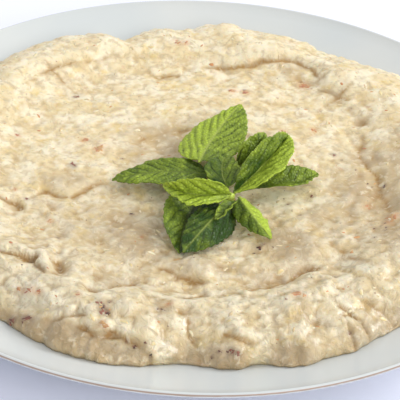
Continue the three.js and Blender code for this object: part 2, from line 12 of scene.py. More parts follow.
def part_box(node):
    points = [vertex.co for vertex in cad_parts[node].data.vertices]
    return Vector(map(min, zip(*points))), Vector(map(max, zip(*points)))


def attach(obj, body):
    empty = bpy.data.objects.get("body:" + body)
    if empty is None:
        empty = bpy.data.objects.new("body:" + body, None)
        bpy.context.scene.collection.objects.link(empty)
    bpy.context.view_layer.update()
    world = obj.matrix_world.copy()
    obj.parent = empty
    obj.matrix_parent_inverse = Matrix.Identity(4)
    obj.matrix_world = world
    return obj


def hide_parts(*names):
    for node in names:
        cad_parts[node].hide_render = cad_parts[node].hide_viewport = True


bl_info = {
    "name": "Baba Ganoush in a Porcelain Dish",
    "version": (1, 0, 0),
    "blender": (4, 5, 0),
    "location": "View3D > Sidebar > Baba Ganoush",
    "description": "Builds the looks of a dish of baba ganoush with mint on its packed frame",
    "category": "Object",
}

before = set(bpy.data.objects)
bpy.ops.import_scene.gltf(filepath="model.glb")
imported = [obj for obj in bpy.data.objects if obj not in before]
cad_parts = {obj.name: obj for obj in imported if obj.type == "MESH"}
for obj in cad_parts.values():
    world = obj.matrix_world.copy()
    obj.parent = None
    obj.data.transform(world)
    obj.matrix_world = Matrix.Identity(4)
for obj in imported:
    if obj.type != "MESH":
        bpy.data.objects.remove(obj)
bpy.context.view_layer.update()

MM = 0.001
# Corners closer than this, in metres, are merged.
MERGE_DISTANCE = 0.00001


def linear(hex_colour):
    """Turns an sRGB hex colour such as "e8dcc0" into a linear RGBA one."""
    channels = [int(hex_colour[k:k + 2], 16) / 255 for k in (0, 2, 4)]
    return [c / 12.92 if c <= 0.04045 else ((c + 0.055) / 1.055) ** 2.4 for c in channels] + [1.0]


# The dish's form, in mm.

RIM_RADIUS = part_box("dish")[1].x / MM
RIM_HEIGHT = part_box("dish")[1].z / MM
FLOOR_HEIGHT = 8.0
FLAT_RADIUS = 55.0
SWEEP = 1.7
WALL = 2.6
LIP_RADIUS = 0.8
# How far inside the rim the inner face gives way to the lip.
LIP_WIDTH = 2.6
FOOT_OUTER = 77.0
FOOT_INNER = 70.0
FOOT_RECESS = 3.6
# Radii between which the wall's outer face shows, and its depth below the inner face.
WALL_TOP, WALL_END = 125, 84
WALL_DEPTH = 1.1 * WALL

# The dip's form, in mm.

GAP = 0.35
BASIN_HEIGHT = 24.6
BANK_HEIGHT = 30.2
BASIN_RADIUS = 74.0
CREST_RADIUS = 92.0
EDGE_RADIUS = 109.0
SHOULDER = 21.0
FRONT_SHOULDER = 26.0
BULGE = 0.95
FRONT_BULGE = 0.4
SLOPE_POWER = 1.7
EDGE_THICKNESS = 0.7
EDGE_GAP = 0.08
# How far the basin is squeezed along X, most at the right, and how far inside it the bank starts.
BASIN_SQUEEZE = 3
BANK_START = 6
# How far noise pushes aside the spoon marks, the lumps and the small lumps.
TEAR, BEND, SMALL_BEND = 1.3, 2.2, 0.9
# Most that a flake or bit stains the dip, and how dark the painted shade is along the foot of the near
# bank.
MOST_STAIN = 0.6
FOOT_SHADE = 0.7
# Drop of the bank's flank, over which the mesh's rows lie closer together.
FLANK_DROP = 9
UNDERSIDE_SHARES = [0.998, 0.93, 0.83, 0.72, 0.5]

# Lobes and notches of the outline: angle in degrees, reach, half width in degrees.
EDGE_LOBES = [
    (90, 2.5, 60), (133, 2, 9), (110, -7, 5), (97, -3, 5), (84, 2.5, 5), (58, -2.5, 9), (38, 3, 6),
    (0, 3, 14), (180, 3, 14), (-54, -2.4, 12), (-61, 2.6, 4), (-70, 1.4, 4), (-78, -5, 3),
    (-91, -6.2, 6.5), (-109, 3.4, 9), (-127, -1.4, 6), (-90, 1.4, 45),
]

# Marks that the spoon left: side that stands up (1 left of the way, -1 right), lip height and
# width, groove depth and width, and the path.
SPOON_MARKS = {
    "far bank lip": (1, 1.7, 8, 1.6, 6,
     [(-8, 73.5), (8, 76), (22, 78), (33, 80), (41, 77.5), (47, 70), (46, 63)]),
    "far bank, right end": (1, 1, 6, 1, 6, [(46, 63), (53, 58), (60, 50)]),
    "far left bank": (1, 1, 10, 0.8, 8, [(-76, 34), (-66, 57), (-52, 69), (-40, 76), (-30, 80)]),
    "small far lip": (1, 1.2, 4, 0.8, 4, [(-22, 67.5), (-15, 69.5), (-8, 69)]),
    "sweep behind the mint": (1, 0.5, 5, 1, 10, [(-27, 19), (-16, 26), (-3, 29)]),
    "left step": (1, 1.2, 6, 1.3, 7,
     [(-63, -24), (-57, -17.5), (-51, -20), (-46, -19), (-38, -13), (-29, -11.5)]),
    "left step, outer": (1, 1, 4, 1, 4, [(-76, -24), (-69, -26.5), (-62, -28.5)]),
    "left bank pocket": (1, 1.4, 5, 2.2, 4, [(-69, -61), (-62, -62), (-57, -62.5), (-53, -65)]),
    "left bank fold": (1, 1.5, 3, 1.8, 3.5, [(-56, -60), (-54, -67), (-50, -73)]),
    "near left crest": (-1, 1.6, 8, 2, 5,
     [(-42, -76), (-34, -81.5), (-28, -75), (-22, -72.5), (-15, -71)]),
    "near crest": (-1, 1, 8, 1.6, 8, [(-14, -76), (-8, -80), (-1, -78), (5, -74)]),
    "step in front of the mint": (1, 1.6, 7, 1.3, 6, [(-15, -60), (-7, -64), (1, -68), (6, -70)]),
    "near right crest": (-1, 1.2, 9, 2, 6,
     [(14, -77), (22, -71.5), (31, -67), (35, -62), (40, -58.5), (47, -57)]),
    "right bank": (1, 1.1, 9, 1.1, 9, [(66, 38), (62, 16), (66, 2), (69, -16), (68, -36)]),
    "tongue, upper crease": (-1, 0.4, 4, 0.5, 1.6, [(-50, -92), (-45, -94), (-38, -95), (-33, -98)]),
    "tongue, underside": (1, 1.2, 3, 1.3, 3, [(-40, -98), (-34, -100), (-28, -101), (-24, -99)]),
    "front fold": (1, 1.2, 3, 1.7, 4, [(-29, -99), (-24, -102), (-19, -104), (-12, -107)]),
    "front pocket": (1, 1, 4, 1, 4, [(-18, -84), (-12, -84.5), (-6, -86)]),
    "front gully": (-1, 0.6, 5, 1.2, 4, [(-6, -85), (-2, -93), (1, -101), (3, -108)]),
    "front fold, right": (1, 1, 4, 1.1, 4, [(8, -98), (15, -100), (23, -99)]),
    "long groove": (1, 0.4, 3, 1.6, 1.6, [(47, -82.5), (52, -86), (57, -89), (62, -94)]),
    "short groove": (1, 0.4, 3, 1.1, 1.6, [(49, -85), (51, -91), (53, -97), (53, -101)]),
    "right slope": (1, 0.8, 9, 1.2, 8, [(52, -76), (62, -79), (68, -84), (74, -88)]),
}

# Round heaps and hollows: x, y, height, radius along, radius across, turn in degrees.
HEAPS = [
    (-46.5, -67, -4, 3, 6, 10), (-13, 16, -1.3, 14, 10, 20), (42, 68, -2, 7, 6, -40),
    (63, 38, -2.2, 3.5, 3, 0), (-27, 78, -0.8, 8, 4, 20), (40, -52, 1.6, 7, 9, 0),
    (3, -62, 1.4, 5, 5, 0), (-40, -62, 1.5, 4, 8, 10), (-42, 92, 0.4, 8, 7, 0),
    (8, 100, 1.5, 9, 7, 0), (40, 0, -0.6, 14, 10, 0), (-30, -35, -0.8, 22, 12, 0),
    (-15, 96, 0.8, 7, 5, 0), (-68, 72, 1.8, 34, 16, 45), (45, 86, -2.4, 14, 10, -30),
    (-34, -79, -1.8, 2.5, 3.5, 20), (-48, -87, 1, 3, 3, 0), (-52, -88, -0.9, 2.5, 3, 0),
    (-11, -88, -1.8, 5, 3.5, -20), (-9, -104, 1.5, 6, 4, -20), (-2, -104, -1.4, 2.5, 5, 0),
    (36.5, -60, -1.3, 3.5, 2, 45), (31, -58, 1, 5, 3, 20), (41, -91, -1.4, 5, 4, 0),
    (18, -95, 1, 7, 3.5, 0), (22.5, -103, 2.2, 3.6, 6, 0), (13, -104, 1.2, 6, 4.5, 0),
    (28, -104, -1, 1.6, 6, 0), (33, -103, -0.8, 4, 5, 0), (43, -99, 1.1, 6, 4, 20),
    (-60, -84, -0.8, 9, 5, -40), (57, -94, 1.2, 2.5, 5, 30), (-22, -92, 0.9, 6, 4, 0),
    (8, -46, -0.8, 9, 8, 0),
]

# Patches of the dip: x, y, how far it is darker, from oil and juice and from painted shade
# (less than 0 is paler than the rest, from pale tahini and from painted light), radius along,
# radius across, turn in degrees. Some patches are only painted light and shade, such as the
# pale one under the shadow of the right leaf and the dark ones on the shaded right bank.
PATCHES_AND_PAINTED_LIGHT = [
    (76, -8, 0.7, 18, 36, 10), (62, 0, 0.3, 8, 28, 0), (-20, -46, 0.6, 16, 14, 0),
    (-34, -34, 0.5, 22, 14, 0), (32, -44, 0.8, 14, 12, 20), (24, -66, 0.5, 8, 8, 0),
    (-8, 4, 0.5, 16, 12, 0), (-13, 27, 0.8, 14, 7, 10), (-20, 12, 0.5, 14, 8, 0),
    (-47, -12, 0.7, 14, 5, 0), (0, -62, 0.5, 18, 6, 0), (-28, -70, 0.5, 10, 6, -20),
    (-47, -97, 0.5, 18, 4, -25), (6, -107, 1, 12, 4, 0), (31, -104, 0.9, 6, 4, 0),
    (-11, -90, 0.6, 6, 4, 0), (38, 72, 0.6, 8, 6, -30), (56, -19, 0.4, 9, 20, 0),
    (70, -46, 0.5, 8, 16, 20), (-60, -65, 0.8, 5, 3, 20), (-46, -65, 0.8, 2.5, 3.5, 10),
    (60, -79, 0.5, 10, 3, -40), (3, -47, -1, 14, 7, 0), (-12, -19, -0.6, 8, 8, 0),
    (-60, -79, -1, 15, 9, -40), (-68, -29, -0.5, 6, 8, 0), (27, -88, -1, 4, 5, 0),
    (-42, -91, -0.8, 8, 4, -20), (-34, -102, 0.5, 14, 3, -20), (37, -90, 0.7, 5, 5, 0),
    (33, -82, 0.6, 5, 3, 0), (5, -60, 0.6, 6, 4, 0), (-47, -72, 0.7, 4, 3, 0), (42, -26, 0.6, 5, 6, 0),
    (-57, -25, 0.6, 6, 3, 0), (-16, -53, 0.6, 6, 5, 0), (46, 70, -0.8, 5, 4, 0),
    (40, -59, -0.9, 4, 4, 0),
    (44, -9, 0.6, 5, 8, 0), (36, -55, 0.7, 4, 7, 10), (28, -44, 0.4, 6, 4, 0),
    (-10, -105, -0.9, 4, 4, 0), (22, -102, -1, 3.5, 6, 0), (44, -99, -0.3, 8, 6, 25),
    (62, 29, -0.5, 8, 9, 0), (57, 58, -0.5, 6, 6, 0), (64, -73, -0.2, 8, 4, 40),
    (-62, 61, -0.5, 8, 10, 45), (-37, 77, -0.5, 6, 6, 0), (26, -17, -1, 12, 7, 0),
    (-54, -64, -0.8, 2.5, 5, 0), (-42, -64, -0.8, 2.5, 4, 0), (1, -76, -0.6, 5, 4, 0),
    (-2, -88, -0.5, 4, 5, 0), (-23, -99, -0.6, 8, 4, 0), (42, -10, -0.5, 6, 6, 0),
    (-62, -87, 0.7, 5, 2.5, -50), (-47, -87, -0.5, 6, 4, -30),
]

# Flakes of charred skin: x, y, length, width, and shade from 0 (black) to 1 (red-brown).
# Each one lies broken into fragments.
CHAR_FLAKES = [
    (-47.2, -1.7, 4.2, 1.4, 0.8), (-48.9, -46.4, 2, 1, 0.5), (-23.9, -28.6, 2.4, 1.1, 0.35),
    (-29.7, 6.5, 1.5, 0.9, 0.7), (-62.4, -23.9, 2.2, 1.1, 0.9), (-51.4, -31.9, 1, 0.8, 0.7),
    (-54.8, -91.8, 4.6, 1.2, 0.75), (-60, -90.2, 3.6, 1.1, 0.7), (-29.4, -92, 2.4, 2, 0.45),
    (-31, -90.4, 2.6, 2, 1), (-29.6, -93.8, 3, 2.2, 1.1),
    (-27.9, -94.3, 2.2, 1.8, 0.35), (-27.4, -89.6, 1.6, 1, 0.6), (-10.8, -89.6, 3, 1.7, 0.2),
    (-13.2, -106, 1.6, 0.9, 0.1), (-15, -103.6, 1.2, 0.8, 0.5), (-18.5, -104.1, 1.7, 1, 0.6),
    (-21.5, -102.6, 1.1, 0.8, 0.7), (12.2, -103.9, 2.6, 1.5, 0.6), (9, -103.9, 1.5, 0.8, 0.6),
    (14.9, -105.1, 2, 1.6, 0.7), (6.6, -104.4, 1, 0.7, 0.4), (3.9, -78.5, 1.9, 1, 0.8),
    (22, -47.9, 2.4, 1.6, 0.3), (23.6, -45.9, 1.3, 1, 0.6), (20.6, -50.6, 1.5, 1, 0.1),
    (30.1, -84.8, 1.1, 0.8, 0.8), (47.5, -67.1, 2.4, 1.5, 0), (33.2, -19.4, 2, 0.9, 0.7),
    (37, -26.7, 1.5, 0.8, 0.9), (41.8, -12.8, 2.4, 1.2, 0.85), (51.4, -93.1, 1.5, 1, 0.7),
    (68.8, -6.8, 1.9, 1, 0), (63.1, -4.8, 1.1, 0.8, 0), (64.4, -6.2, 0.8, 0.6, 0.2),
    (66.8, -37.9, 1.7, 1, 0.1), (67.3, -35.8, 1.1, 0.8, 0.3), (67.3, -32.2, 1.2, 0.8, 0.3),
    (65.6, -34.2, 0.8, 0.6, 0.4), (63.5, -35.3, 1.5, 1.3, 0.5), (62.6, -43.1, 0.9, 0.6, 0.5),
    (54.2, 12.3, 1.2, 0.8, 0.6), (51.3, 15.5, 2.2, 0.9, 0.8), (49.8, 16.1, 0.8, 0.6, 0.6),
    (59.1, 4.4, 1.1, 0.7, 0.8), (59.3, 46.3, 1.2, 0.8, 0.8), (48.9, 71.8, 1, 0.7, 0.9),
    (39.9, 68.1, 1.1, 0.8, 0.3), (17, 59.1, 1.8, 1, 0.8), (-50.4, 48.9, 3.6, 1.5, 1),
]

# Bits of roasted flesh: x, y, length, width, and shade from 0 (tan) to 1 (brick red).
ROASTED_BITS = [
    (41.1, 65.1, 4.4, 3.2, 0.55), (33.8, -80.2, 3.2, 2.6, 0.6), (36.4, -81.6, 1.6, 1.2, 0.4),
    (-55.3, -80.5, 4.4, 1.2, 0.8), (-51.8, -82.4, 2.6, 0.9, 0.7), (-59, -78.6, 2.2, 1, 0.5),
    (-11.4, 88, 3.4, 2, 0.75), (-8, 87.7, 2.6, 1.6, 0.6), (-38.4, -86.5, 1.8, 1.2, 0.7),
    (-67.4, -18.5, 2, 1.1, 0.7), (-70.5, 17.4, 1.6, 2.6, 0.9), (17.4, 57.4, 3.4, 2.4, 0.7),
    (11.8, 57.8, 3, 2, 0.45), (-8.3, -86, 2, 1.2, 0.5), (32.3, 30.6, 2.6, 1.4, 0.3),
    (-19.4, -43.7, 1.2, 2.2, 0.5), (-28.9, -99, 3.4, 1.2, 0.2), (-44.8, 16.4, 3.4, 2, 0.45),
    (-38.6, 11.9, 5.6, 2, 0.3), (-53, -36, 2.4, 1.4, 0.35),
    (62, -19, 3, 2, 0.35), (44, 32, 3, 1.6, 0.3), (70, -30, 6, 2.4, 0.25),
]

# Small bits lie in the basin, out to a radius, or in a ring of a radius and half width on the bank.
BASIN_REACH = 84
RING_RADIUS, RING_HALF_WIDTH = 95, 9
# Most that a bit turns off the way of the spoon, in radians.
SLANT = 1.1
# Kinds of small bits scattered over the dip: count, seed, least and most length, width as a
# share of the length, thickness as a share of the width, share of the thickness that stands
# out, range of shades, and the share of them that lies on the rough bank.
SCATTERED = {
    "char_flecks": (150, 61, 0.3, 1, 0.65, 0.35, 0.15, (0.1, 1), 0.5),
    "roasted_bits": (150, 71, 0.8, 3, 0.45, 0.4, 0.2, (0, 0.6), 0.5),
    "pulp_strands": (700, 81, 0.9, 3.4, 0.42, 0.5, 0.3, (0, 1), 0.6),
}

# The mint's form, in mm.

# name: base and tip of the midrib, width, arch, sweep, roll, fold of each half, stalk length.
MINT_LEAVES = {
    "left": ((2.6, -8.8, 28.7), (-32.2, -11.9, 26.4), 18, 2.4, 0.2, 1, 1, 0, 0.8),
    "far": ((0.2, -5.2, 32.6), (14.8, 33.8, 33.6), 25, -0.4, 1.8, -10, -7, -8, 1.5),
    "far_small": ((14.7, -2.6, 28.8), (24, 11.8, 34.8), 10.4, 2, -1.4, 12, 44, 40, 5),
    "right": ((13.3, -22.3, 30.8), (32.8, 9.9, 35.6), 22.7, 1.8, -0.9, 34, 54, 59, 1),
    "right_low": ((21, -12.9, 26.6), (44.4, -2.2, 26.4), 15.6, 2, -3.4, 15, 22, 45, 9),
    "front_left": ((10.9, -26.8, 32.4), (-13, -20.8, 31.2), 14.6, 5, 2.3, -48, 50, 46, 0.8),
    "front_deep": ((0, -20.6, 26), (-5.9, -55.4, 26.6), 19, 0.8, -1.4, -6, 2, 16, 5),
    "front": ((10.9, -29.6, 29.6), (-4.5, -56.9, 28), 17.2, 3.2, 0, -20, -26, -30, 1),
    "front_right": ((14.9, -27.4, 31.4), (26, -45.6, 27.2), 11.4, 1.8, -1.1, 1, -30, -30, 0.8),
    "front_small": ((12.9, -31.2, 32.4), (6.4, -43.4, 33), 7, -0.6, 0, 20, 37, 40, 0.8),
    "middle": ((10.2, -21.6, 32.2), (9.8, -2.6, 33.4), 14, 0.4, 1.8, -6, 22, 20, 0.8),
}
# How fresh and how lit the left and right half of each leaf are, from -1 dark through 0 deep
# green to 1 yellow-green, and beyond 1 with ever fainter veins, how pale its midrib is, from 0 a
# dark crease to 1 a pale line, and how far its side veins run forwards for each step outwards.
# The two halves differ partly in painted light and shade: a lit half is tinted brighter, a half
# in shade darker, below 0 is painted shade, as in the gap between the front leaves, and the dark
# midrib crease is painted shade too.
LEAF_TINTS_AND_SHADES = {
    "left": (0.5, 0.46, 0.3, 1), "far": (1.25, 0.7, 1, 2.1), "far_small": (0.6, 0.5, 0.4, 1.4),
    "right": (0.35, 1.9, 0.6, 1.7), "right_low": (0.5, 0.5, 0.3, 0.9),
    "front_left": (1.1, 1.05, 0.6, 1), "front_deep": (-1.2, 0.35, 0.2, 1.8),
    "front": (0, 0.1, 0.6, 1.8), "front_right": (2.2, 0.35, 0.6, 1.6),
    "front_small": (0.4, 0.4, 0.2, 1.2), "middle": (0.3, 0.5, 0.6, 1.6),
}
# Leaves folded up more than this, in degrees, get painted shade along the fold.
DEEP_FOLD = 30
STALK_HALF_WIDTH = 0.6
TIP_HALF_WIDTH = 0.3
FOLD_FROM = 3.0
TIP_TAPER = 0.8
STALK_TAPER = 0.42
LEAF_WAVE = 0.35
LEAF_WAVES = 3
TOOTH_SPACING = 2.9
TOOTH_DEPTH = 0.5
# Share of a tooth's length in which it rises.
TOOTH_RISE = 0.72
VEIN_SPACING = 3.3
# How far the blade bulges between its side veins; a leaf narrower than FULL_WIDTH bulges less.
QUILTING = 0.75
FULL_WIDTH = 21
PUCKERING = 0.4
# Share of the light on a leaf that goes through it.
LIT_THROUGH = 0.22
# How much painted shade darkens a leaf at its base, and along a deep fold.
BASE_SHADE, FOLD_SHADE = 0.2, 0.5

STEM_SIDE = 2.2
STEM_FACETS = 16
# How far the stem's corners stand out, and how far its joint at the top swells.
STEM_CORNERS, STEM_JOINT = 0.13, 0.25
STEM_PATH = [(4.6, -3, 26.4), (4.2, -10, 27), (8, -18, 28.3), (11.8, -25.2, 30)]

# The camera looks down on the dish from the front, rolled a little.
CAMERA_PLACE = (0.0, -500.8, 358.9)
CAMERA_YAW = math.radians(0.0658)
CAMERA_PITCH = math.radians(34.803)
CAMERA_ROLL = math.radians(2.443)
CAMERA_LENS = 144.0
CAMERA_SENSOR = 36.0
CAMERA_NEAREST = 0.01

FLOOR_HALF_WIDTH = 3
SKY_STRENGTH = 0.8
# Lights that face the dish: place and width in metres, power in watts, and colour.
LIGHTS = {
    "key": ((1.5, 0.6, 1.0), 0.9, 22.0, "ffffff"),
    "window": ((-0.4, 0.6, 0.55), 0.5, 0.6, "ffffff"),
    "fill": ((0.5, -0.9, 0.6), 0.5, 4.6, "fff9f0"),
}


# Shared maths.

def smooth_step(start, end, value):
    share = np.clip((value - start) / (end - start), 0, 1)
    return share * share * (3 - 2 * share)


def lattice_value(i, j, seed):
    """A fixed pseudo-random value from -1 to 1 for each lattice point."""
    wave = np.sin(i * 127.1 + j * 311.7 + seed * 74.7) * 43758.5453
    return (wave - np.floor(wave)) * 2 - 1


def noise(x, y, cell, seed):
    """Smooth noise from -1 to 1 whose bumps are about one cell wide."""
    i, j = np.floor(x / cell), np.floor(y / cell)
    u, v = smooth_step(0, 1, x / cell - i), smooth_step(0, 1, y / cell - j)
    near = lattice_value(i, j, seed) * (1 - u) + lattice_value(i + 1, j, seed) * u
    far = lattice_value(i, j + 1, seed) * (1 - u) + lattice_value(i + 1, j + 1, seed) * u
    return near * (1 - v) + far * v


def pillows(x, y, cell, seed):
    """Soft swellings with sharp creases between them."""
    return np.abs(noise(x, y, cell, seed)) - 0.3


def lumps(x, y, cell, seed):
    """Round lumps of uneven size, about one to a cell, from 0 to 1."""
    i, j = np.floor(x / cell), np.floor(y / cell)
    highest = np.zeros(np.shape(x))
    for di in (-1, 0, 1):
        for dj in (-1, 0, 1):
            a, b = i + di, j + dj
            middle_x = (a + 0.5 + 0.45 * lattice_value(a, b, seed)) * cell
            middle_y = (b + 0.5 + 0.45 * lattice_value(a, b, seed + 1)) * cell
            reach = (0.62 + 0.28 * lattice_value(a, b, seed + 2)) * cell
            apart = ((x - middle_x) ** 2 + (y - middle_y) ** 2) / reach ** 2
            size = 0.55 + 0.45 * lattice_value(a, b, seed + 3)
            highest = np.maximum(highest, size * np.clip(1 - apart, 0, 1))
    return highest


def smooth_path(path, steps=8):
    """Points along a Catmull-Rom curve through the points of a path."""
    ends = np.array([path[0], *path, path[-1]], float)
    t = np.arange(steps)[:, None] / steps
    points = []
    for a, b, c, d in zip(ends, ends[1:], ends[2:], ends[3:]):
        points.extend(0.5 * (2 * b + (c - a) * t + (2 * a - 5 * b + 4 * c - d) * t ** 2
                             + (3 * b - a - 3 * c + d) * t ** 3))
    return np.array([*points, ends[-1]])


# The dip's relief.

def dish_height(radius):
    """Height of the dish's inner face at a radius."""
    along = np.maximum(radius - FLAT_RADIUS, 0) / (RIM_RADIUS - FLAT_RADIUS)
    return FLOOR_HEIGHT + (RIM_HEIGHT - FLOOR_HEIGHT) * along ** SWEEP


def edge_radius(turn):
    """Radius of the dip's outline at an angle in radians."""
    radius = np.full(np.shape(turn), EDGE_RADIUS)
    for middle, reach, half_width in EDGE_LOBES:
        apart = (np.degrees(turn) - middle + 540) % 360 - 180
        radius += reach * np.exp(-(apart / half_width) ** 2)
    x, y = EDGE_RADIUS * np.cos(turn), EDGE_RADIUS * np.sin(turn)
    return radius + 1.5 * pillows(x, y, 9, 5) + 0.9 * pillows(x, y, 4, 8) + 0.4 * noise(x, y, 1.8, 9)


def mark_shape(mark, x, y):
    """Rise of the lip and fall of the groove along one spoon mark, and how crisp a crease its
    line is from 0 to 1."""
    stands, lip, lip_width, groove, groove_width, path = mark
    line = smooth_path(path)
    reach = 3.2 * max(1.6 * lip_width, groove_width)
    low, high = line.min(0) - reach, line.max(0) + reach
    near = (x > low[0]) & (x < high[0]) & (y > low[1]) & (y < high[1])
    near_x, near_y = x[near], y[near]
    distance = np.full(near_x.shape, np.inf)
    side, along = np.ones(near_x.shape), np.zeros(near_x.shape)
    for k, (start, end) in enumerate(zip(line, line[1:])):
        way = end - start
        off_x, off_y = near_x - start[0], near_y - start[1]
        t = np.clip((off_x * way[0] + off_y * way[1]) / (way @ way), 0, 1)
        apart = np.hypot(off_x - t * way[0], off_y - t * way[1])
        closer = apart < distance
        distance = np.where(closer, apart, distance)
        side = np.where(closer, np.where(way[0] * off_y < way[1] * off_x, -1, 1), side)
        along = np.where(closer, (k + t) / (len(line) - 1), along)
    raised = side * stands > 0
    fade = smooth_step(0, 0.25, along) * (1 - smooth_step(0.75, 1, along))
    fade *= 1 - smooth_step(2, 3.2, distance / np.where(raised, 1.6 * lip_width, groove_width))
    fall = groove * np.exp(-distance / np.where(raised, 0.5 * groove_width, groove_width))
    rounding = 0.7 * lip_width
    rise = 1 - (1 - np.clip(distance / rounding, 0, 1)) ** 2
    rise *= np.exp(-np.maximum(distance - rounding, 0) / (1.6 * lip_width))
    height, crease = np.zeros(x.shape), np.zeros(x.shape)
    height[near] = fade * (np.where(raised, lip * rise, 0) - fall)
    crease[near] = fade * min(2.5 * groove / groove_width, 1) * np.exp(-(distance / 0.9) ** 2)
    return height, crease


def spoon_marks(x, y):
    """Height of all the spoon marks together, and how crisp a crease there is."""
    torn_x = x + TEAR * noise(x, y, 6, 11)
    torn_y = y + TEAR * noise(x, y, 6, 12)
    shapes = [mark_shape(mark, torn_x, torn_y) for mark in SPOON_MARKS.values()]
    height, crease = np.sum(shapes, axis=0)
    return height * (1 + 0.35 * noise(x, y, 7, 15)), crease


def heap_height(heap, x, y):
    middle_x, middle_y, height, along, across, turn = heap
    c, s = math.cos(math.radians(turn)), math.sin(math.radians(turn))
    dx, dy = x - middle_x, y - middle_y
    return height * np.exp(-((dx * c + dy * s) / along) ** 2 - ((dy * c - dx * s) / across) ** 2)


def facing_front(turn):
    """1 at the front of the dish, where the bank slopes down gently, and 0 behind."""
    return smooth_step(0.1, -0.7, np.sin(turn))


def flank(outwards, front):
    """Share of the bank's height left at a share of the way out over the shoulder."""
    bulge = BULGE + (FRONT_BULGE - BULGE) * front
    round_end = np.sqrt(np.maximum(1 - outwards ** 2, 0))
    return bulge * round_end + (1 - bulge) * (1 - outwards ** SLOPE_POWER)


def smeared(x, y, cell, seed, reach):
    """Noise dragged along the way of the spoon, round the middle of the dish."""
    total = 0
    steps = 5
    for turn in np.linspace(-reach, reach, steps):
        c, s = math.cos(turn), math.sin(turn)
        total = total + noise(c * x - s * y, s * x + c * y, cell, seed)
    return total / steps


def dip_points(x, y):
    """Points of the dip's top face above places in plan."""
    radius, turn = np.hypot(x, y), np.arctan2(y, x)
    edge, front = edge_radius(turn), facing_front(turn)
    shoulder = SHOULDER + (FRONT_SHOULDER - SHOULDER) * front
    outwards = np.clip((radius - edge + shoulder) / shoulder, 0, 1)
    basin = BASIN_RADIUS - BASIN_SQUEEZE * (np.cos(turn) + np.cos(2 * turn))
    bank = smooth_step(basin - BANK_START, CREST_RADIUS, radius)
    body = BASIN_HEIGHT + (BANK_HEIGHT - BASIN_HEIGHT) * bank
    contact = dish_height(edge) + GAP + EDGE_THICKNESS
    share = flank(outwards, front)
    height = contact + (body - contact) * share
    # Down the steep flank the relief is drawn out, so that it keeps its size there.
    spread = 1 + 0.6 * (body - contact) * (1 - share) / np.maximum(radius, 1)
    u, v = x * spread, y * spread
    bent_u, bent_v = u + BEND * noise(u, v, 7, 11), v + BEND * noise(u, v, 7, 12)
    fine_u = u + SMALL_BEND * noise(u, v, 2.8, 16)
    fine_v = v + SMALL_BEND * noise(u, v, 2.8, 17)
    # Broad swells, the spoon's marks and the heaps, and then lumps of 8.5, 6.5, 4.4 and 2.4 mm,
    # which are higher where the dip is coarse, and fine streaks.
    relief = 0.8 * noise(x, y, 22, 1)
    relief += spoon_marks(x, y)[0]
    for heap in HEAPS:
        relief += heap_height(heap, x, y)
    coarse = 0.75 * smooth_step(20, -70, y) + 0.15 * smooth_step(-20, 90, x)
    clumped = smooth_step(-0.5, 0.6, noise(x, y, 14, 51))
    rough = 0.3 + 0.08 * bank * coarse + 0.5 * coarse
    relief += rough * 1.1 * noise(bent_u, bent_v, 8.5, 2)
    relief += rough * pillows(bent_u * 0.8 + bent_v * 0.6, bent_v * 0.8 - bent_u * 0.6, 6.5, 3)
    relief += rough * (0.25 + 0.6 * clumped * coarse) * (0.9 * lumps(fine_u, fine_v, 4.4, 31) - 0.25)
    relief += rough * (0.4 + 0.6 * clumped) * 0.6 * noise(fine_u, fine_v, 2.4, 4)
    relief += 0.38 * smeared(u, v, 2.4, 7, 0.06)
    relief += 0.12 * noise(u, v, 1.4, 6)
    relief *= 1 - smooth_step(0.985, 1, outwards)
    lean = np.arctan2(0.9 * (body - contact) * outwards, shoulder)
    sideways = relief * np.sin(lean) / np.maximum(radius, 1)
    return np.stack([x * (1 + sideways), y * (1 + sideways), height + relief * np.cos(lean)], -1)


def patchiness_and_painted_light(x, y):
    """How far the dip is darkened, by oil and juice and by painted shade, from 0 to 1, or lightened, by
    pale tahini and by painted light, from 0 to -1.
    """
    total = sum(heap_height(patch, x, y) for patch in PATCHES_AND_PAINTED_LIGHT)
    return np.clip(total * (1 + 0.5 * noise(x, y, 5, 41)), -1, 1)


def stain(bits_placed, x, y):
    """How far the dip is stained by the flakes or bits that lie in it."""
    total = 0
    for middle_x, middle_y, long, wide, _ in bits_placed:
        turn = math.degrees(math.atan2(middle_y, middle_x)) + 90
        spot = (middle_x, middle_y, 0.9, 0.6 * long, 0.25 * long + 0.4 * wide, turn)
        total = total + heap_height(spot, x, y)
    return np.minimum(total * (0.7 + 0.5 * noise(x, y, 1.6, 43)), MOST_STAIN)


# The mint's shapes.

def leaf_outline(along):
    """Share of the full half width at a share of the way from the stalk to the tip."""
    def shape(share):
        return (1 - share) ** TIP_TAPER * share ** STALK_TAPER
    return shape(np.clip(along, 0, 1)) / shape(STALK_TAPER / (TIP_TAPER + STALK_TAPER))


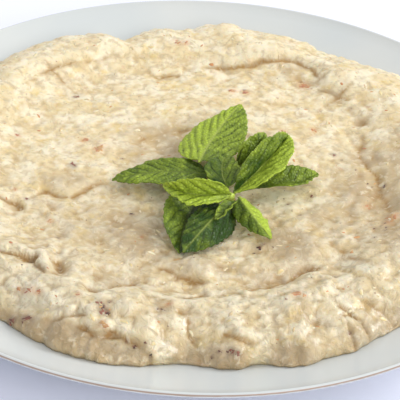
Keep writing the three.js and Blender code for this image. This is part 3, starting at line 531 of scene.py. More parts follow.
def leaf_points(name, along, across):
    """Points of a leaf, how much midrib and sunken vein each is, and its place in the flat leaf.
    across runs from -1 on the right margin to 1 on the left one."""
    base, tip, width, arch, sweep, roll, fold_left, fold_right, _ = MINT_LEAVES[name]
    way = np.subtract(tip, base)
    length = np.linalg.norm(way)
    forward = way / length
    level = np.cross((0, 0, 1), forward)
    level /= np.linalg.norm(level)
    raised = np.cross(forward, level)
    c, s = math.cos(math.radians(roll)), math.sin(math.radians(roll))
    left, up = c * level + s * raised, c * raised - s * level

    bow = np.where(along > 0, 4 * along * np.maximum(1 - along, 0), 0)
    least = np.where(along < 1, STALK_HALF_WIDTH, TIP_HALF_WIDTH)
    half_width = np.maximum(width / 2 * leaf_outline(along), least)
    side = np.where(across < 0, -1, 1)
    out = np.abs(across) * half_width
    on_blade = smooth_step(0, 0.06, along)
    mm_along = along * length
    tooth = (mm_along / TOOTH_SPACING + 0.25 * side + 0.35 * noise(mm_along, side, 5, length)) % 1
    tooth = np.where(tooth < TOOTH_RISE, tooth / TOOTH_RISE, (1 - tooth) / (1 - TOOTH_RISE))
    margin = np.abs(across) ** 5 * np.minimum(half_width / 4, 1) * on_blade
    out = out + TOOTH_DEPTH * (tooth - 0.45) * margin
    fold = np.radians(np.where(across > 0, fold_left, fold_right))
    fold *= np.minimum(half_width / FOLD_FROM, 1)

    seed = 100 + 7 * len(name) + round(length)
    mm_across = side * out
    lean = LEAF_TINTS_AND_SHADES[name][3]
    phase = (mm_along - out * lean - 0.035 * out ** 2) / (VEIN_SPACING * math.hypot(1, lean))
    phase += 0.3 * side
    phase = phase + 0.45 * noise(mm_along, mm_across, 7, seed + 2)
    from_vein = np.abs(phase - np.round(phase)) * VEIN_SPACING
    reach = 1 - smooth_step(0.8, 1, np.abs(across))
    groove = 0.7 * np.exp(-(from_vein / 0.25) ** 2) + 0.25 * np.exp(-(from_vein / 0.8) ** 2)
    groove *= reach * on_blade * (1 - np.exp(-(out / 0.8) ** 2))
    groove *= 0.8 + 0.5 * noise(mm_along, mm_across, 3, seed + 3)
    midrib = np.exp(-(out / 0.32) ** 2)
    swell = (1 - np.exp(-(from_vein / 1.1) ** 2)) * (1 - np.exp(-(out / 1.3) ** 2)) * on_blade
    crinkle = 0.5 * noise(mm_along, mm_across, 4.5, seed)
    crinkle += PUCKERING * (1 - 2 * np.abs(noise(mm_along, mm_across, 2, seed + 1))) * swell
    quilting = QUILTING * min(width / FULL_WIDTH, 1)
    lift = quilting * swell * (0.35 + 0.65 * reach) - 0.25 * midrib
    lift += crinkle * np.minimum(out / 2, 1) * on_blade
    lift += LEAF_WAVE * across ** 2 * bow * np.sin(2 * np.pi * LEAF_WAVES * along + 2 * across)

    offset_left = sweep * bow + side * out * np.cos(fold) - side * lift * np.sin(fold)
    offset_up = arch * bow + out * np.sin(fold) + lift * np.cos(fold)
    points = base + np.outer(mm_along, forward)
    points = points + np.outer(offset_left, left) + np.outer(offset_up, up)
    on_leaf = np.column_stack([mm_along, mm_across, np.full(len(along), 0.05 * seed)])
    return points, midrib, groove, on_leaf


# Meshes and materials.

def blurred(grid, times):
    """A grid of heights with each one averaged with its neighbours a number of times."""
    for _ in range(times):
        wide = np.pad(grid, 1, mode="edge")
        grid = (wide[:-2, 1:-1] + wide[2:, 1:-1] + wide[1:-1, :-2] + wide[1:-1, 2:] + 2 * grid) / 6
    return grid


def mesh_points(mesh):
    """A mesh's vertices in millimetres."""
    points = np.empty(3 * len(mesh.vertices))
    mesh.vertices.foreach_get("co", points)
    return points.reshape(-1, 3) / MM


def place_points(mesh, points):
    mesh.vertices.foreach_set("co", (points * MM).ravel())
    mesh.update()


def add_values(mesh, name, values):
    """Keeps a number or a place for each vertex, which a material can read by name."""
    flat = np.asarray(values, np.float32).ravel()
    if len(flat) == len(mesh.vertices):
        mesh.attributes.new(name, "FLOAT", "POINT").data.foreach_set("value", flat)
    else:
        mesh.attributes.new(name, "FLOAT_VECTOR", "POINT").data.foreach_set("vector", flat)


def finish_mesh(bm, name):
    """Turns a bmesh into a smooth-shaded mesh."""
    mesh = bpy.data.meshes.new(name)
    bm.to_mesh(mesh)
    bm.free()
    mesh.shade_smooth()
    return mesh


def add_piece(mesh, materials, slot, *nodes):
    """Links a finished mesh as a piece of the root body that stands for CAD nodes."""
    piece = bpy.data.objects.new(mesh.name, mesh)
    bpy.context.scene.collection.objects.link(piece)
    for material in materials:
        mesh.materials.append(material)
    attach(piece, "root")
    if nodes:
        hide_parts(*nodes)
    return piece


# The Mix node's inputs for a share and for two colours.
MIX_FACTOR, MIX_FROM, MIX_TO = 0, 6, 7


def add_node(tree, kind, inputs=None, out=None, **settings):
    """Adds a node and gives its output of the name out, or else its first one in use.
    Inputs are numbers, colours or the outputs that feed them."""
    node = tree.nodes.new("ShaderNode" + kind)
    for name, value in settings.items():
        setattr(node, name, value)
    for name, value in (inputs or {}).items():
        if isinstance(value, bpy.types.NodeSocket):
            tree.links.new(value, node.inputs[name])
        else:
            node.inputs[name].default_value = value
    return node.outputs[out] if out else next((o for o in node.outputs if o.enabled), None)


def new_material(name):
    """An empty node material and its tree."""
    material = bpy.data.materials.new(name)
    material.use_nodes = True
    material.node_tree.nodes.clear()
    return material, material.node_tree


def layered(tree, colour, *layers):
    """Lays colours over one another. Each layer is a share from 0 to 1 and a colour."""
    for share, over in layers:
        inputs = {MIX_FACTOR: share, MIX_FROM: colour, MIX_TO: over}
        colour = add_node(tree, "Mix", inputs, data_type="RGBA")
    return colour


def finished(material, surface):
    add_node(material.node_tree, "OutputMaterial", {"Surface": surface})
    return material


def glazed_porcelain(look):
    """Glazed porcelain, fired glossy: a smooth cool white that mirrors the lights softly.
    The lip has a fine worn line of gilding."""
    material, tree = new_material("glazed_porcelain")
    place = add_node(tree, "TexCoord", out="Object")
    cloud = add_node(tree, "TexNoise", {"Vector": place, "Scale": 1 / 0.045, "Detail": 3.0})
    pooled = add_node(tree, "MapRange", {"Value": cloud, "From Min": 0.35, "From Max": 0.65})
    flat = add_node(tree, "VectorMath", {0: place, 1: (1, 1, 0)}, operation="MULTIPLY")
    radius = add_node(tree, "VectorMath", {0: flat}, out="Value", operation="LENGTH")
    outside = add_node(tree, "MapRange", {
        "Value": radius, "From Min": (RIM_RADIUS - 0.3) * MM, "From Max": (RIM_RADIUS - 0.2) * MM,
    })
    worn = add_node(tree, "TexNoise", {"Vector": place, "Scale": 1 / 0.006, "Detail": 2.0})
    height = add_node(tree, "SeparateXYZ", {"Vector": place}, out="Z")
    wobble = add_node(tree, "Math", {0: worn, 1: 0.0005, 2: height}, operation="MULTIPLY_ADD")
    gilded = add_node(tree, "MapRange", {
        "Value": wobble, "From Min": (RIM_HEIGHT - 0.6) * MM, "From Max": (RIM_HEIGHT - 0.4) * MM,
        "To Max": outside,
    })
    ripple = add_node(tree, "TexNoise", {"Vector": place, "Scale": 1 / 0.02, "Detail": 1.0})
    return finished(material, add_node(tree, "BsdfPrincipled", {
        "Base Color": layered(tree, look.glaze_colour, (pooled, look.glaze_pool_colour),
                              (gilded, look.gilding_colour)),
        "Roughness": add_node(tree, "MapRange", {"Value": cloud, "To Min": 0.16, "To Max": 0.24}),
        "IOR": 1.5,
        "Normal": add_node(tree, "Bump", {"Height": ripple, "Strength": 0.05, "Distance": 0.0005}),
    }))


def mashed_aubergine(look):
    """Roasted aubergine mashed with tahini and oil: a pale cream that light enters a little,
    wet on its lumps, with oil and greyish pulp showing through in patches."""
    material, tree = new_material("mashed_aubergine_with_tahini")
    place = add_node(tree, "TexCoord", out="Object")
    layers = []
    for tone, size, low, high, shift, most in (
        (look.tahini_colour, 8, 0.42, 0.62, 0.1, 1.0), (look.oil_colour, 7, 0.52, 0.70, 0.7, 0.8),
        (look.pulp_colour, 6, 0.54, 0.72, 1.3, 0.7), (look.flesh_colour, 5, 0.62, 0.76, 2.1, 0.6),
    ):
        spot = add_node(tree, "Mapping", {"Vector": place, "Location": (shift, shift, 0)})
        cloud = add_node(tree, "TexNoise", {
            "Vector": spot, "Scale": 1 / (size * MM), "Detail": 4.0, "Roughness": 0.6,
        })
        patch = add_node(tree, "MapRange", {
            "Value": cloud, "From Min": low, "From Max": high, "To Max": most,
        }, interpolation_type="SMOOTHSTEP")
        layers.append((patch, tone))
    # Shares kept on the mesh, beside real oil and stains: painted shade in the creases and shaded
    # patches, and painted light on the tops and lit patches.
    for name, most, tone in (
        ("pale_and_lit", 0.8, look.tahini_colour), ("soaked_and_shaded", 0.75, look.soaked_and_shade_colour),
        ("hollow", 0.9, look.crease_oil_and_shade_colour), ("near_char", 1.0, look.char_colour),
        ("near_roasted", 1.0, look.orange_colour),
    ):
        share = add_node(tree, "Attribute", out="Fac", attribute_name=name)
        share = add_node(tree, "Math", {0: share, 1: most}, operation="MULTIPLY", use_clamp=True)
        layers.append((share, tone))
    shreds = add_node(tree, "TexNoise", {
        "Vector": place, "Scale": 1 / 0.0042, "Detail": 5.0, "Roughness": 0.7, "Distortion": 0.9,
    })
    fibre = add_node(tree, "TexVoronoi", {"Vector": place, "Scale": 1 / 0.0026})
    relief = add_node(tree, "Math", {0: fibre, 1: -0.25, 2: shreds}, operation="MULTIPLY_ADD")
    # Painted light and shade on the fine shreds: the low parts of the relief are darkened, the high
    # parts lightened.
    for start, end, most, tone in (
        (0.36, 0.22, 0.55, look.crevice_colour), (0.42, 0.55, 0.45, look.tahini_colour),
    ):
        share = add_node(tree, "MapRange", {
            "Value": relief, "From Min": start, "From Max": end, "To Max": most,
        }, interpolation_type="SMOOTHSTEP")
        layers.append((share, tone))
    coarse = add_node(tree, "Attribute", out="Fac", attribute_name="coarse")
    return finished(material, add_node(tree, "BsdfPrincipled", {
        "Base Color": layered(tree, look.mash_colour, *layers),
        "Roughness": add_node(tree, "MapRange", {
            "Value": shreds, "From Min": 0.35, "From Max": 0.65, "To Min": 0.55, "To Max": 0.32,
        }),
        "IOR": 1.42, "Coat Roughness": 0.15,
        "Coat Weight": add_node(tree, "MapRange", {
            "Value": coarse, "From Min": 0.3, "From Max": 0.74, "To Min": 0.06, "To Max": 0.4,
        }),
        "Subsurface Weight": 0.25, "Subsurface Radius": (1.0, 0.62, 0.3), "Subsurface Scale": 0.0012,
        "Normal": add_node(tree, "Bump", {"Height": relief, "Strength": coarse, "Distance": 0.0022}),
    }))


def bits(name, dark, middle, light, roughness, coat, inside):
    """Bits in the dip, wet with oil: each has its own shade between three colours.
    inside is how far light enters them: charred skin is dense, roasted flesh and pulp glow."""
    material, tree = new_material(name)
    place = add_node(tree, "TexCoord", out="Object")
    shade = add_node(tree, "Attribute", out="Fac", attribute_name="shade")
    cloud = add_node(tree, "TexNoise", {"Vector": place, "Scale": 1 / 0.0012, "Detail": 2.0})
    mottled = add_node(tree, "Math", {0: cloud, 1: 0.7, 2: shade}, operation="MULTIPLY_ADD")
    shares = [add_node(tree, "MapRange", {
        "Value": mottled, "From Min": start, "From Max": start + 0.45,
    }) for start in (0.3, 0.8)]
    return finished(material, add_node(tree, "BsdfPrincipled", {
        "Base Color": layered(tree, dark, *zip(shares, (middle, light))), "Roughness": roughness,
        "IOR": 1.42, "Coat Weight": coat, "Coat Roughness": 0.12, "Subsurface Weight": inside,
        "Subsurface Radius": (1.0, 0.55, 0.3), "Subsurface Scale": 0.0008,
        "Normal": add_node(tree, "Bump", {"Height": cloud, "Strength": 0.6, "Distance": 0.0003}),
    }))


def mint_leaf(name, shadow, deep, fresh, vein_colour, glow, roughness):
    """A living leaf: a waxy skin over wet green tissue that glows when lit from behind.
    The midrib is pale, the side veins are sunken, and the blade is puckered between them."""
    material, tree = new_material(name)
    on_leaf = add_node(tree, "Attribute", out="Vector", attribute_name="on_leaf")
    midrib, groove, tint_and_shade = [add_node(tree, "Attribute", out="Fac", attribute_name=values)
                            for values in ("midrib", "groove", "tint_and_shade")]
    cloud = add_node(tree, "TexNoise", {"Vector": on_leaf, "Scale": 1 / 0.005, "Detail": 3.0})
    # Partly painted light: a lit half has a higher tint and so more of the fresh colour.
    young = add_node(tree, "Math", {0: cloud, 1: 1.4, 2: tint_and_shade}, operation="MULTIPLY_ADD")
    young = add_node(tree, "Math", {0: young, 1: 0.7}, operation="SUBTRACT", use_clamp=True)
    # Painted shade: where the tint falls below 0 the leaf takes the shadow colour.
    painted_shade = add_node(tree, "Math", {0: tint_and_shade, 1: -0.9}, operation="MULTIPLY", use_clamp=True)
    net = add_node(tree, "TexVoronoi", {"Vector": on_leaf, "Scale": 1 / 0.0012},
                   feature="DISTANCE_TO_EDGE")
    thread = add_node(tree, "MapRange", {"Value": net, "From Max": 0.25, "To Min": 0.4, "To Max": 0.0})
    # Painted shade in the sunken side veins and in the net between the puckers.
    sunken = add_node(tree, "Math", {0: groove, 1: 0.8, 2: thread}, operation="MULTIPLY_ADD",
                      use_clamp=True)
    # The veins are faint where the leaf is young and bright.
    faint = add_node(tree, "Math", {0: tint_and_shade, 1: -0.3, 2: 1.2}, operation="MULTIPLY_ADD")
    sunken = add_node(tree, "Math", {0: sunken, 1: faint}, operation="MULTIPLY", use_clamp=True)
    pucker = add_node(tree, "MapRange", {"Value": net, "From Max": 0.4})
    bump = add_node(tree, "Bump", {"Height": pucker, "Strength": 0.8, "Distance": 0.0003})
    skin = add_node(tree, "BsdfPrincipled", {
        "Base Color": layered(tree, deep, (young, fresh), (painted_shade, shadow), (sunken, shadow),
                              (midrib, vein_colour)),
        "Roughness": roughness, "IOR": 1.45, "Specular IOR Level": 0.35, "Normal": bump,
    })
    through = add_node(tree, "BsdfTranslucent", {"Color": glow, "Normal": bump})
    return finished(material, add_node(tree, "MixShader", {0: LIT_THROUGH, 1: skin, 2: through}))


def mint_stalk(look):
    """A young mint stalk: a pale, faintly ribbed green skin with a soft sheen."""
    material, tree = new_material("mint_stalk")
    place = add_node(tree, "TexCoord", out="Object")
    cloud = add_node(tree, "TexNoise", {"Vector": place, "Scale": 1 / 0.0025, "Detail": 2.0})
    return finished(material, add_node(tree, "BsdfPrincipled", {
        "Base Color": layered(tree, look.stalk_colour, (cloud, look.fresh_colour)),
        "Roughness": 0.42, "IOR": 1.45,
        "Normal": add_node(tree, "Bump", {"Height": cloud, "Strength": 0.3, "Distance": 0.0002}),
    }))


def matt_paper(look):
    """The floor's wide roll of uncoated paper: dull, with barely a cloud in its tone."""
    material, tree = new_material("matt_paper")
    place = add_node(tree, "TexCoord", out="Object")
    cloud = add_node(tree, "TexNoise", {"Vector": place, "Scale": 1 / 0.3})
    return finished(material, add_node(tree, "BsdfPrincipled", {
        "Base Color": layered(tree, look.floor_colour, (cloud, look.floor_cloud_colour)),
        "Roughness": 0.8,
    }))


# Settings.

def length(name, description, millimetres):
    return FloatProperty(name=name, description=description, default=millimetres * MM,
                         unit="LENGTH", subtype="DISTANCE")


def colour(name, description, hex_colour):
    return FloatVectorProperty(name=name, description=description, default=linear(hex_colour),
                               subtype="COLOR", size=4, min=0, max=1)


class DishLook(bpy.types.PropertyGroup):
    steps: IntProperty(name="Steps", description="Facets around the dish", default=192)
    glaze_colour: colour("Glaze", "Where the glaze is thin", "d0d4d2")
    glaze_pool_colour: colour("Glaze pool", "Where the glaze is thicker", "cad0d0")
    gilding_colour: colour("Gilding", "Worn line on the lip", "a28e80")


class DipLook(bpy.types.PropertyGroup):
    cells: IntProperty(name="Cells", description="Mesh cells across the dip", default=300)
    mash_colour: colour("Mash", "Most of the dip", "dfcca0")
    tahini_colour: colour("Tahini", "Palest patches", "eee4c6")
    oil_colour: colour("Oil", "Yellow oily patches", "e0c888")
    pulp_colour: colour("Pulp", "Greyish aubergine flesh", "c6bb9e")
    flesh_colour: colour("Roasted flesh", "Rosy brown patches", "cfa480")
    # Partly painted shade: this colour darkens the creases and grooves where shade falls, as well as
    # standing for oil.
    crease_oil_and_shade_colour: colour("Creases", "Oil that collects in the deep creases", "a07838")
    crevice_colour: colour("Crevices", "Shade between the small shreds", "bba886")
    # Partly painted shade: this colour also darkens shaded patches and the foot of the near bank.
    soaked_and_shade_colour: colour("Soaked", "Where oil and juice soak the dip", "a98f68")
    soot_colour: colour("Soot", "Blackest charred skin", "32221e")
    char_colour: colour("Charred skin", "Most of the charred skin", "603a2e")
    singed_colour: colour("Singed skin", "Lightest charred skin", "94604c")
    tan_colour: colour("Roasted tan", "Lightly roasted flesh", "d3a467")
    orange_colour: colour("Roasted orange", "Roasted flesh", "cb8f5e")
    brick_colour: colour("Roasted red", "Darkest roasted flesh", "b26a52")
    cream_colour: colour("Cream pulp", "Palest strands", "f0e4c6")
    butter_colour: colour("Butter pulp", "Yellow strands", "e2cd98")
    grey_colour: colour("Grey pulp", "Greyish strands", "cdb994")


class MintLook(bpy.types.PropertyGroup):
    rows: IntProperty(name="Rows", description="Mesh rows along a leaf", default=110)
    columns: IntProperty(name="Columns", description="Mesh columns across a leaf", default=32)
    thickness: length("Thickness", "Thickness of a leaf", 0.35)
    # Painted shade: darkens the sunken veins, the net and the shaded leaf halves.
    shadow_colour: colour("Sunken veins", "Side veins and net of the upper side", "2c3e14")
    deep_colour: colour("Deep green", "Older leaf", "33561a")
    fresh_colour: colour("Fresh green", "Young leaf", "c6e04e")
    vein_colour: colour("Midrib", "Midrib of the upper side", "b8c860")
    glow_colour: colour("Glow", "Light that comes through a leaf", "b0b81c")
    under_colour: colour("Underside", "Paler lower side", "8fae5a")
    stalk_colour: colour("Stalk", "Stem and stalks", "b9cc6a")


class StudioLook(bpy.types.PropertyGroup):
    floor_colour: colour("Floor", "Plain pale floor", "eaedff")
    floor_cloud_colour: colour("Floor cloud", "Slightly paler clouds in the floor", "eff2ff")
    sky_colour: colour("Sky", "Even light from all round", "f6f6fa")


# Operators.

class GlazedDish(bpy.types.Operator):
    """Spins the porcelain dish"""
    bl_idname = "baba.glazed_dish"
    bl_label = "Glazed Dish"

    def execute(self, context):
        look = context.scene.baba_dish
        inner = [(radius, dish_height(radius)) for radius in np.linspace(0, RIM_RADIUS - LIP_WIDTH, 36)]
        lip = [(RIM_RADIUS - LIP_RADIUS + LIP_RADIUS * math.cos(turn),
                RIM_HEIGHT - LIP_RADIUS + LIP_RADIUS * math.sin(turn))
               for turn in np.radians(np.linspace(140, -60, 11))]
        outer = [(radius, dish_height(radius) - WALL_DEPTH)
                 for radius in np.linspace(WALL_TOP, WALL_END, 14)]
        foot = [(FOOT_OUTER, 6.2), (FOOT_OUTER - 0.4, 3), (FOOT_OUTER - 0.6, 1),
                (FOOT_OUTER - 1.0, 0.3), (FOOT_OUTER - 1.6, 0), (FOOT_INNER + 1, 0),
                (FOOT_INNER + 0.3, 0.3), (FOOT_INNER, 1), (FOOT_INNER - 0.3, FOOT_RECESS - 0.4),
                (FOOT_INNER - 1, FOOT_RECESS), (0, FOOT_RECESS)]
        bm = bmesh.new()
        corners = [bm.verts.new((radius * MM, 0, height * MM))
                   for radius, height in inner + lip + outer + foot]
        edges = [bm.edges.new(pair) for pair in zip(corners, corners[1:])]
        bmesh.ops.spin(bm, geom=corners + edges, axis=(0, 0, 1), cent=(0, 0, 0), angle=2 * math.pi,
                       steps=look.steps, use_merge=True)
        bmesh.ops.remove_doubles(bm, verts=bm.verts, dist=MERGE_DISTANCE)
        bmesh.ops.recalc_face_normals(bm, faces=bm.faces)
        add_piece(finish_mesh(bm, "serving_dish"), [glazed_porcelain(look)], "porcelain", "dish")
        return {"FINISHED"}


class SpreadDip(bpy.types.Operator):
    """Spreads the dip in the dish"""
    bl_idname = "baba.spread_dip"
    bl_label = "Spread Dip"

    def execute(self, context):
        look = context.scene.baba_dip
        bm = bmesh.new()
        bmesh.ops.create_grid(bm, x_segments=look.cells, y_segments=look.cells, size=1)
        rim = [edge for edge in bm.edges if edge.is_boundary]
        for layer in range(1, len(UNDERSIDE_SHARES) + 1):
            grown = bmesh.ops.extrude_edge_only(bm, edges=rim)["geom"]
            for vert in grown:
                if isinstance(vert, bmesh.types.BMVert):
                    vert.co.z = -layer
            rim = [edge for edge in grown if isinstance(edge, bmesh.types.BMEdge) and edge.is_boundary]
        bmesh.ops.contextual_create(bm, geom=rim)
        bmesh.ops.recalc_face_normals(bm, faces=bm.faces)
        mesh = finish_mesh(bm, "spread_dip")
        square = mesh_points(mesh) * MM
        layer = np.round(-square[:, 2]).astype(int)
        a, b = square[:, 0], square[:, 1]
        share = np.maximum(np.abs(a), np.abs(b))
        with np.errstate(divide="ignore", invalid="ignore"):
            turn = np.where(np.abs(a) > np.abs(b), np.pi / 4 * b / a, np.pi / 2 - np.pi / 4 * a / b)
        turn = np.where(share == 0, 0, turn)
        turn += np.where(np.where(np.abs(a) > np.abs(b), a, b) < 0, np.pi, 0)
        turn = (turn + np.pi) % (2 * np.pi) - np.pi
        share = share * np.array([1, *UNDERSIDE_SHARES])[layer]
        rows = np.linspace(0, 1, 200)
        on_flank = np.clip((rows * EDGE_RADIUS - EDGE_RADIUS + SHOULDER) / SHOULDER, 0, 1)
        along = rows * EDGE_RADIUS + FLANK_DROP * (1 - flank(on_flank, 1))
        share = np.where(layer == 0, np.interp(share, along / along[-1], rows), share)
        radius = share * (EDGE_RADIUS + (edge_radius(turn) - EDGE_RADIUS) * share ** 4)
        x, y = radius * np.cos(turn), radius * np.sin(turn)
        under = np.column_stack([x, y, dish_height(radius) + np.where(layer == 1, EDGE_GAP, GAP)])
        points = np.where((layer == 0)[:, None], dip_points(x, y), under)
        place_points(mesh, points)
        # Where the face lies below its blurred self, in narrow creases and wide grooves, the dip is
        # darker and browner: partly oil that collects there, partly painted shade.
        height = points[:, 2]
        side = look.cells + 1
        top = height[:side * side].reshape(side, side)
        creases, grooves = blurred(top, 5) - top, blurred(top, 40) - top
        hollow = np.zeros(len(height))
        inside = 1 - smooth_step(0.9, 0.97, share[:side * side])
        hollow[:side * side] = (creases / 0.7 + grooves / 1.6).ravel() * inside
        # Painted shade along the foot of the near bank, where it meets the dish, in the same colour as
        # the oil-soaked patches.
        patchy = patchiness_and_painted_light(x, y)
        patchy = patchy + FOOT_SHADE * smooth_step(0.9, 0.99, share) * facing_front(turn)
        # Painted shade: a dark line along the crisp creases of the spoon marks.
        crease = spoon_marks(x, y)[1] * (0.6 + 0.4 * noise(x, y, 3, 44))
        add_values(mesh, "hollow", np.clip(hollow + crease, 0, 1))
        # Painted light: the dip is paler on the tops that stand above their blurred self, and in pale
        # patches, some real tahini and some painted light.
        add_values(mesh, "pale_and_lit", np.clip(-hollow, 0, 1) + np.clip(-patchy, 0, 1))
        # Oil and juice, and painted shade in the shaded patches and along the foot of the near bank.
        add_values(mesh, "soaked_and_shaded", np.clip(patchy, 0, 1))
        add_values(mesh, "near_char", stain(CHAR_FLAKES, x, y))
        add_values(mesh, "near_roasted", stain(ROASTED_BITS, x, y))
        # The texture is smooth where the spoon went last and coarse on the near bank.
        bank = smooth_step(66, 92, radius) * smooth_step(60, -90, y)
        add_values(mesh, "coarse", 0.24 + 0.36 * smooth_step(10, -60, y) + 0.22 * bank)
        add_piece(mesh, [mashed_aubergine(look)], "dip", "baba_ganoush")
        return {"FINISHED"}


class DipBits(bpy.types.Operator):
    """Strews charred flecks, roasted bits and strands of pulp on the dip"""
    bl_idname = "baba.dip_bits"
    bl_label = "Dip Bits"

    def scatter(self, name):
        """Rows of x, y, length, width and shade for the small bits of one kind."""
        count, seed, least, most, narrow, _, _, shades, on_bank = SCATTERED[name]
        k = np.arange(count)
        inner = BASIN_REACH * np.sqrt(0.5 + 0.5 * lattice_value(k, 1, seed))
        outer = RING_RADIUS + RING_HALF_WIDTH * lattice_value(k, 2, seed)
        radius = np.where(0.5 + 0.5 * lattice_value(k, 3, seed) < on_bank, outer, inner)
        turn = np.pi * lattice_value(k, 4, seed)
        size = (0.5 + 0.5 * lattice_value(k, 5, seed)) ** 2
        long = least + (most - least) * size
        wide = long * narrow * (1 + 0.3 * lattice_value(k, 6, seed))
        shade = shades[0] + (shades[1] - shades[0]) * (0.5 + 0.5 * lattice_value(k, 7, seed))
        return np.column_stack([radius * np.cos(turn), radius * np.sin(turn), long, wide, shade])

    def fragments(self, placed, seed):
        """Rows for the fragments that each placed flake or bit has broken into."""
        rows = []
        for k, (x, y, long, wide, shade) in enumerate(placed):
            count = 3 + round(long * wide)
            turn = math.atan2(y, x) + math.pi / 2 + SLANT * lattice_value(k, 9, seed)
            # A long one keeps a darker sliver along its middle.
            if long > 1.9 * wide:
                rows.append((x, y, long, 0.75 * wide, shade - 0.15))
            for part in range(count):
                a, b, size, change = [lattice_value(count * k + part, axis, seed)
                                      for axis in (11, 12, 13, 14)]
                along, across = 0.36 * long * a, 0.36 * wide * b
                share = 0.4 + 0.25 * size
                rows.append((x + along * math.cos(turn) - across * math.sin(turn),
                             y + along * math.sin(turn) + across * math.cos(turn),
                             long * share, wide * share, shade + 0.3 * change))
        return rows

    def strew(self, name, material, placed):
        """Drapes one rounded chip on the dip for each row."""
        seed, flat, proud = SCATTERED[name][1], SCATTERED[name][5], SCATTERED[name][6]
        rows = np.array([*self.fragments(placed, seed), *self.scatter(name)])
        x, y, long, wide, shade = rows.T
        bm = bmesh.new()
        for _ in rows:
            bmesh.ops.create_icosphere(bm, subdivisions=2, radius=1)
        mesh = finish_mesh(bm, name)
        chip = (mesh_points(mesh) * MM).reshape(len(rows), -1, 3)
        k = np.arange(len(rows))[:, None]
        a, b, c = chip[..., 0], chip[..., 1], chip[..., 2]
        ragged = 1 + 0.28 * noise(2.1 * a + 3.7 * k, 2.1 * b + c, 1, seed)
        ragged = ragged + 0.12 * noise(5 * a + k, 5 * b, 1, seed)
        bend = 0.3 * lattice_value(k, 8, seed)
        along = ragged * a * long[:, None] / 2
        across = ragged * b * wide[:, None] / 2 + bend * a ** 2 * wide[:, None]
        # Most bits lie along the way of the spoon, some across it.
        turn = np.arctan2(y, x)[:, None] + np.pi / 2 + SLANT * lattice_value(k, 9, seed)
        plan_x = x[:, None] + along * np.cos(turn) - across * np.sin(turn)
        plan_y = y[:, None] + along * np.sin(turn) + across * np.cos(turn)
        ground = dip_points(plan_x.ravel(), plan_y.ravel()).reshape(chip.shape)
        step = 0.4
        middle = dip_points(x, y)
        normal = np.cross(dip_points(x + step, y) - middle, dip_points(x, y + step) - middle)
        normal /= np.linalg.norm(normal, axis=1)[:, None]
        thick = flat * np.minimum(wide, long)[:, None]
        lift = thick * (c * ragged / 2 + proud - 0.5)
        points = ground + lift[..., None] * normal[:, None, :]
        place_points(mesh, points.reshape(-1, 3))
        add_values(mesh, "shade", np.repeat(shade, chip.shape[1]))
        add_piece(mesh, [material], "dip", "baba_ganoush")

    def execute(self, context):
        look = context.scene.baba_dip
        skin = bits("charred_skin", look.soot_colour, look.char_colour, look.singed_colour,
                    roughness=0.5, coat=0.3, inside=0.0)
        flesh = bits("roasted_flesh", look.tan_colour, look.orange_colour, look.brick_colour,
                     roughness=0.4, coat=0.5, inside=0.3)
        pulp = bits("aubergine_pulp", look.cream_colour, look.butter_colour, look.grey_colour,
                    roughness=0.35, coat=0.5, inside=0.3)
        self.strew("char_flecks", skin, CHAR_FLAKES)
        self.strew("roasted_bits", flesh, ROASTED_BITS)
        self.strew("pulp_strands", pulp, [])
        return {"FINISHED"}


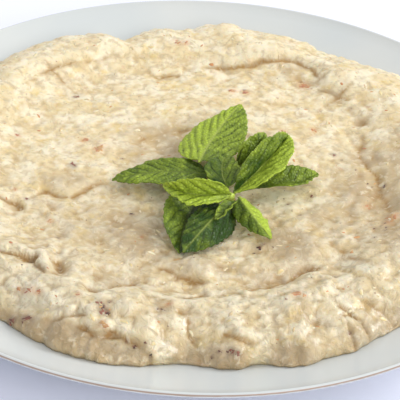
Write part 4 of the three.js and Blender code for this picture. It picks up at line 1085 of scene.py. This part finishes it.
class MintSprig(bpy.types.Operator):
    """Grows the leaves and the stem of the mint"""
    bl_idname = "baba.mint_sprig"
    bl_label = "Mint Sprig"

    def grow_leaf(self, look, name, materials):
        bm = bmesh.new()
        bmesh.ops.create_grid(bm, x_segments=look.rows, y_segments=look.columns, size=1)
        mesh = finish_mesh(bm, "leaf_" + name)
        flat = mesh_points(mesh) * MM
        base, tip = MINT_LEAVES[name][:2]
        start = -MINT_LEAVES[name][-1] / np.linalg.norm(np.subtract(tip, base))
        along = start + (1 - start) * (flat[:, 0] + 1) / 2
        points, midrib, groove, on_leaf = leaf_points(name, along, flat[:, 1])
        place_points(mesh, points)
        left, right, paleness, _ = LEAF_TINTS_AND_SHADES[name]
        # Each half takes its own tint, partly painted light and shade.
        tint_and_shade = right + (left - right) * smooth_step(-0.1, 0.1, flat[:, 1])
        # Painted shade along a deep fold and towards the stalk.
        if min(MINT_LEAVES[name][6:8]) > DEEP_FOLD:
            tint_and_shade += FOLD_SHADE * (np.abs(flat[:, 1]) - 0.5)
        tint_and_shade -= BASE_SHADE * (1 - smooth_step(0, 0.3, along))
        add_values(mesh, "midrib", midrib * paleness)
        add_values(mesh, "groove", np.maximum(groove, midrib * (1 - paleness)))
        add_values(mesh, "tint_and_shade", tint_and_shade)
        add_values(mesh, "on_leaf", on_leaf * MM)
        piece = add_piece(mesh, materials, "mint_leaf", "mint_leaf_" + name)
        shell = piece.modifiers.new("thickness", "SOLIDIFY")
        shell.thickness = look.thickness
        shell.offset = 0
        shell.material_offset = 1

    def grow_stem(self, look):
        line = smooth_path(STEM_PATH)
        bm = bmesh.new()
        bmesh.ops.create_grid(bm, x_segments=len(line) - 1, y_segments=STEM_FACETS, size=1)
        bm.verts.ensure_lookup_table()
        way = np.gradient(line, axis=0)
        way /= np.linalg.norm(way, axis=1)[:, None]
        for vert in bm.verts:
            share = (vert.co.x + 1) / 2
            k = round(share * (len(line) - 1))
            turn = math.pi * vert.co.y
            radius = STEM_SIDE / 2 * (1 + STEM_CORNERS * (1 - math.cos(4 * turn)))
            radius *= 1 + STEM_JOINT * share ** 6
            across = np.cross(way[k], (1, 0, 0))
            across /= np.linalg.norm(across)
            beside = np.cross(way[k], across)
            outwards = math.cos(turn) * across + math.sin(turn) * beside
            vert.co = Vector((line[k] + radius * outwards) * MM)
        bmesh.ops.remove_doubles(bm, verts=bm.verts, dist=MERGE_DISTANCE)
        bmesh.ops.holes_fill(bm, edges=bm.edges, sides=0)
        bmesh.ops.recalc_face_normals(bm, faces=bm.faces)
        add_piece(finish_mesh(bm, "sprig_stem"), [mint_stalk(look)], "mint_stem", "mint_stem")

    def execute(self, context):
        look = context.scene.baba_mint
        upper = mint_leaf("mint_leaf_upper", look.shadow_colour, look.deep_colour, look.fresh_colour,
                          look.vein_colour, look.glow_colour, roughness=0.42)
        # On the underside the painted shade is the deep green.
        lower = mint_leaf("mint_leaf_lower", look.deep_colour, look.under_colour, look.fresh_colour,
                          look.stalk_colour, look.glow_colour, roughness=0.6)
        for name in MINT_LEAVES:
            self.grow_leaf(look, name, [upper, lower])
        self.grow_stem(look)
        return {"FINISHED"}


class Studio(bpy.types.Operator):
    """Sets the floor, the lights and the camera"""
    bl_idname = "baba.studio"
    bl_label = "Studio"

    def execute(self, context):
        look, scene = context.scene.baba_studio, context.scene
        bm = bmesh.new()
        bmesh.ops.create_grid(bm, x_segments=1, y_segments=1, size=FLOOR_HALF_WIDTH)
        floor = bpy.data.objects.new("floor", finish_mesh(bm, "floor"))
        floor.data.materials.append(matt_paper(look))
        scene.collection.objects.link(floor)

        world = bpy.data.worlds.new("studio")
        world.use_nodes = True
        sky = world.node_tree.nodes["Background"].inputs
        sky["Color"].default_value = look.sky_colour
        sky["Strength"].default_value = SKY_STRENGTH
        scene.world = world
        for name, (place, size, power, tone) in LIGHTS.items():
            light = bpy.data.lights.new(name, "AREA")
            light.shape = "DISK"
            light.size = size
            light.energy = power
            light.color = linear(tone)[:3]
            lamp = bpy.data.objects.new(name, light)
            facing = Vector(place).to_track_quat("Z", "Y").to_matrix().to_4x4()
            lamp.matrix_world = Matrix.Translation(place) @ facing
            scene.collection.objects.link(lamp)

        camera = bpy.data.cameras.new("camera")
        camera.sensor_width = CAMERA_SENSOR
        camera.lens = CAMERA_LENS
        camera.clip_start = CAMERA_NEAREST
        ahead = Vector((math.sin(CAMERA_YAW) * math.cos(CAMERA_PITCH),
                        math.cos(CAMERA_YAW) * math.cos(CAMERA_PITCH), -math.sin(CAMERA_PITCH)))
        right = Vector((math.cos(CAMERA_YAW), -math.sin(CAMERA_YAW), 0))
        up = right.cross(ahead)
        c, s = math.cos(CAMERA_ROLL), math.sin(CAMERA_ROLL)
        axes = Matrix((c * right + s * up, c * up - s * right, -ahead)).transposed()
        viewer = bpy.data.objects.new("camera", camera)
        viewer.matrix_world = Matrix.Translation(Vector(CAMERA_PLACE) * MM) @ axes.to_4x4()
        scene.collection.objects.link(viewer)
        scene.camera = viewer
        scene.view_settings.view_transform = "Standard"
        return {"FINISHED"}


class BabaGanoushPanel(bpy.types.Panel):
    bl_idname = "VIEW3D_PT_baba_ganoush"
    bl_label = "Baba Ganoush"
    bl_space_type = "VIEW_3D"
    bl_region_type = "UI"
    bl_category = "Baba Ganoush"

    def draw(self, context):
        for operator in OPERATORS:
            self.layout.operator(operator.bl_idname)


SETTINGS = {
    "baba_dish": DishLook, "baba_dip": DipLook, "baba_mint": MintLook, "baba_studio": StudioLook,
}
OPERATORS = [GlazedDish, SpreadDip, DipBits, MintSprig, Studio]


def register():
    for group in [*SETTINGS.values(), *OPERATORS, BabaGanoushPanel]:
        bpy.utils.register_class(group)
    for name, group in SETTINGS.items():
        setattr(bpy.types.Scene, name, PointerProperty(type=group))


def unregister():
    for name in SETTINGS:
        delattr(bpy.types.Scene, name)
    for group in [BabaGanoushPanel, *reversed(OPERATORS), *reversed(SETTINGS.values())]:
        bpy.utils.unregister_class(group)


def main():
    register()
    for operator in OPERATORS:
        family, name = operator.bl_idname.split(".")
        getattr(getattr(bpy.ops, family), name)()


if __name__ == "__main__":
    main()
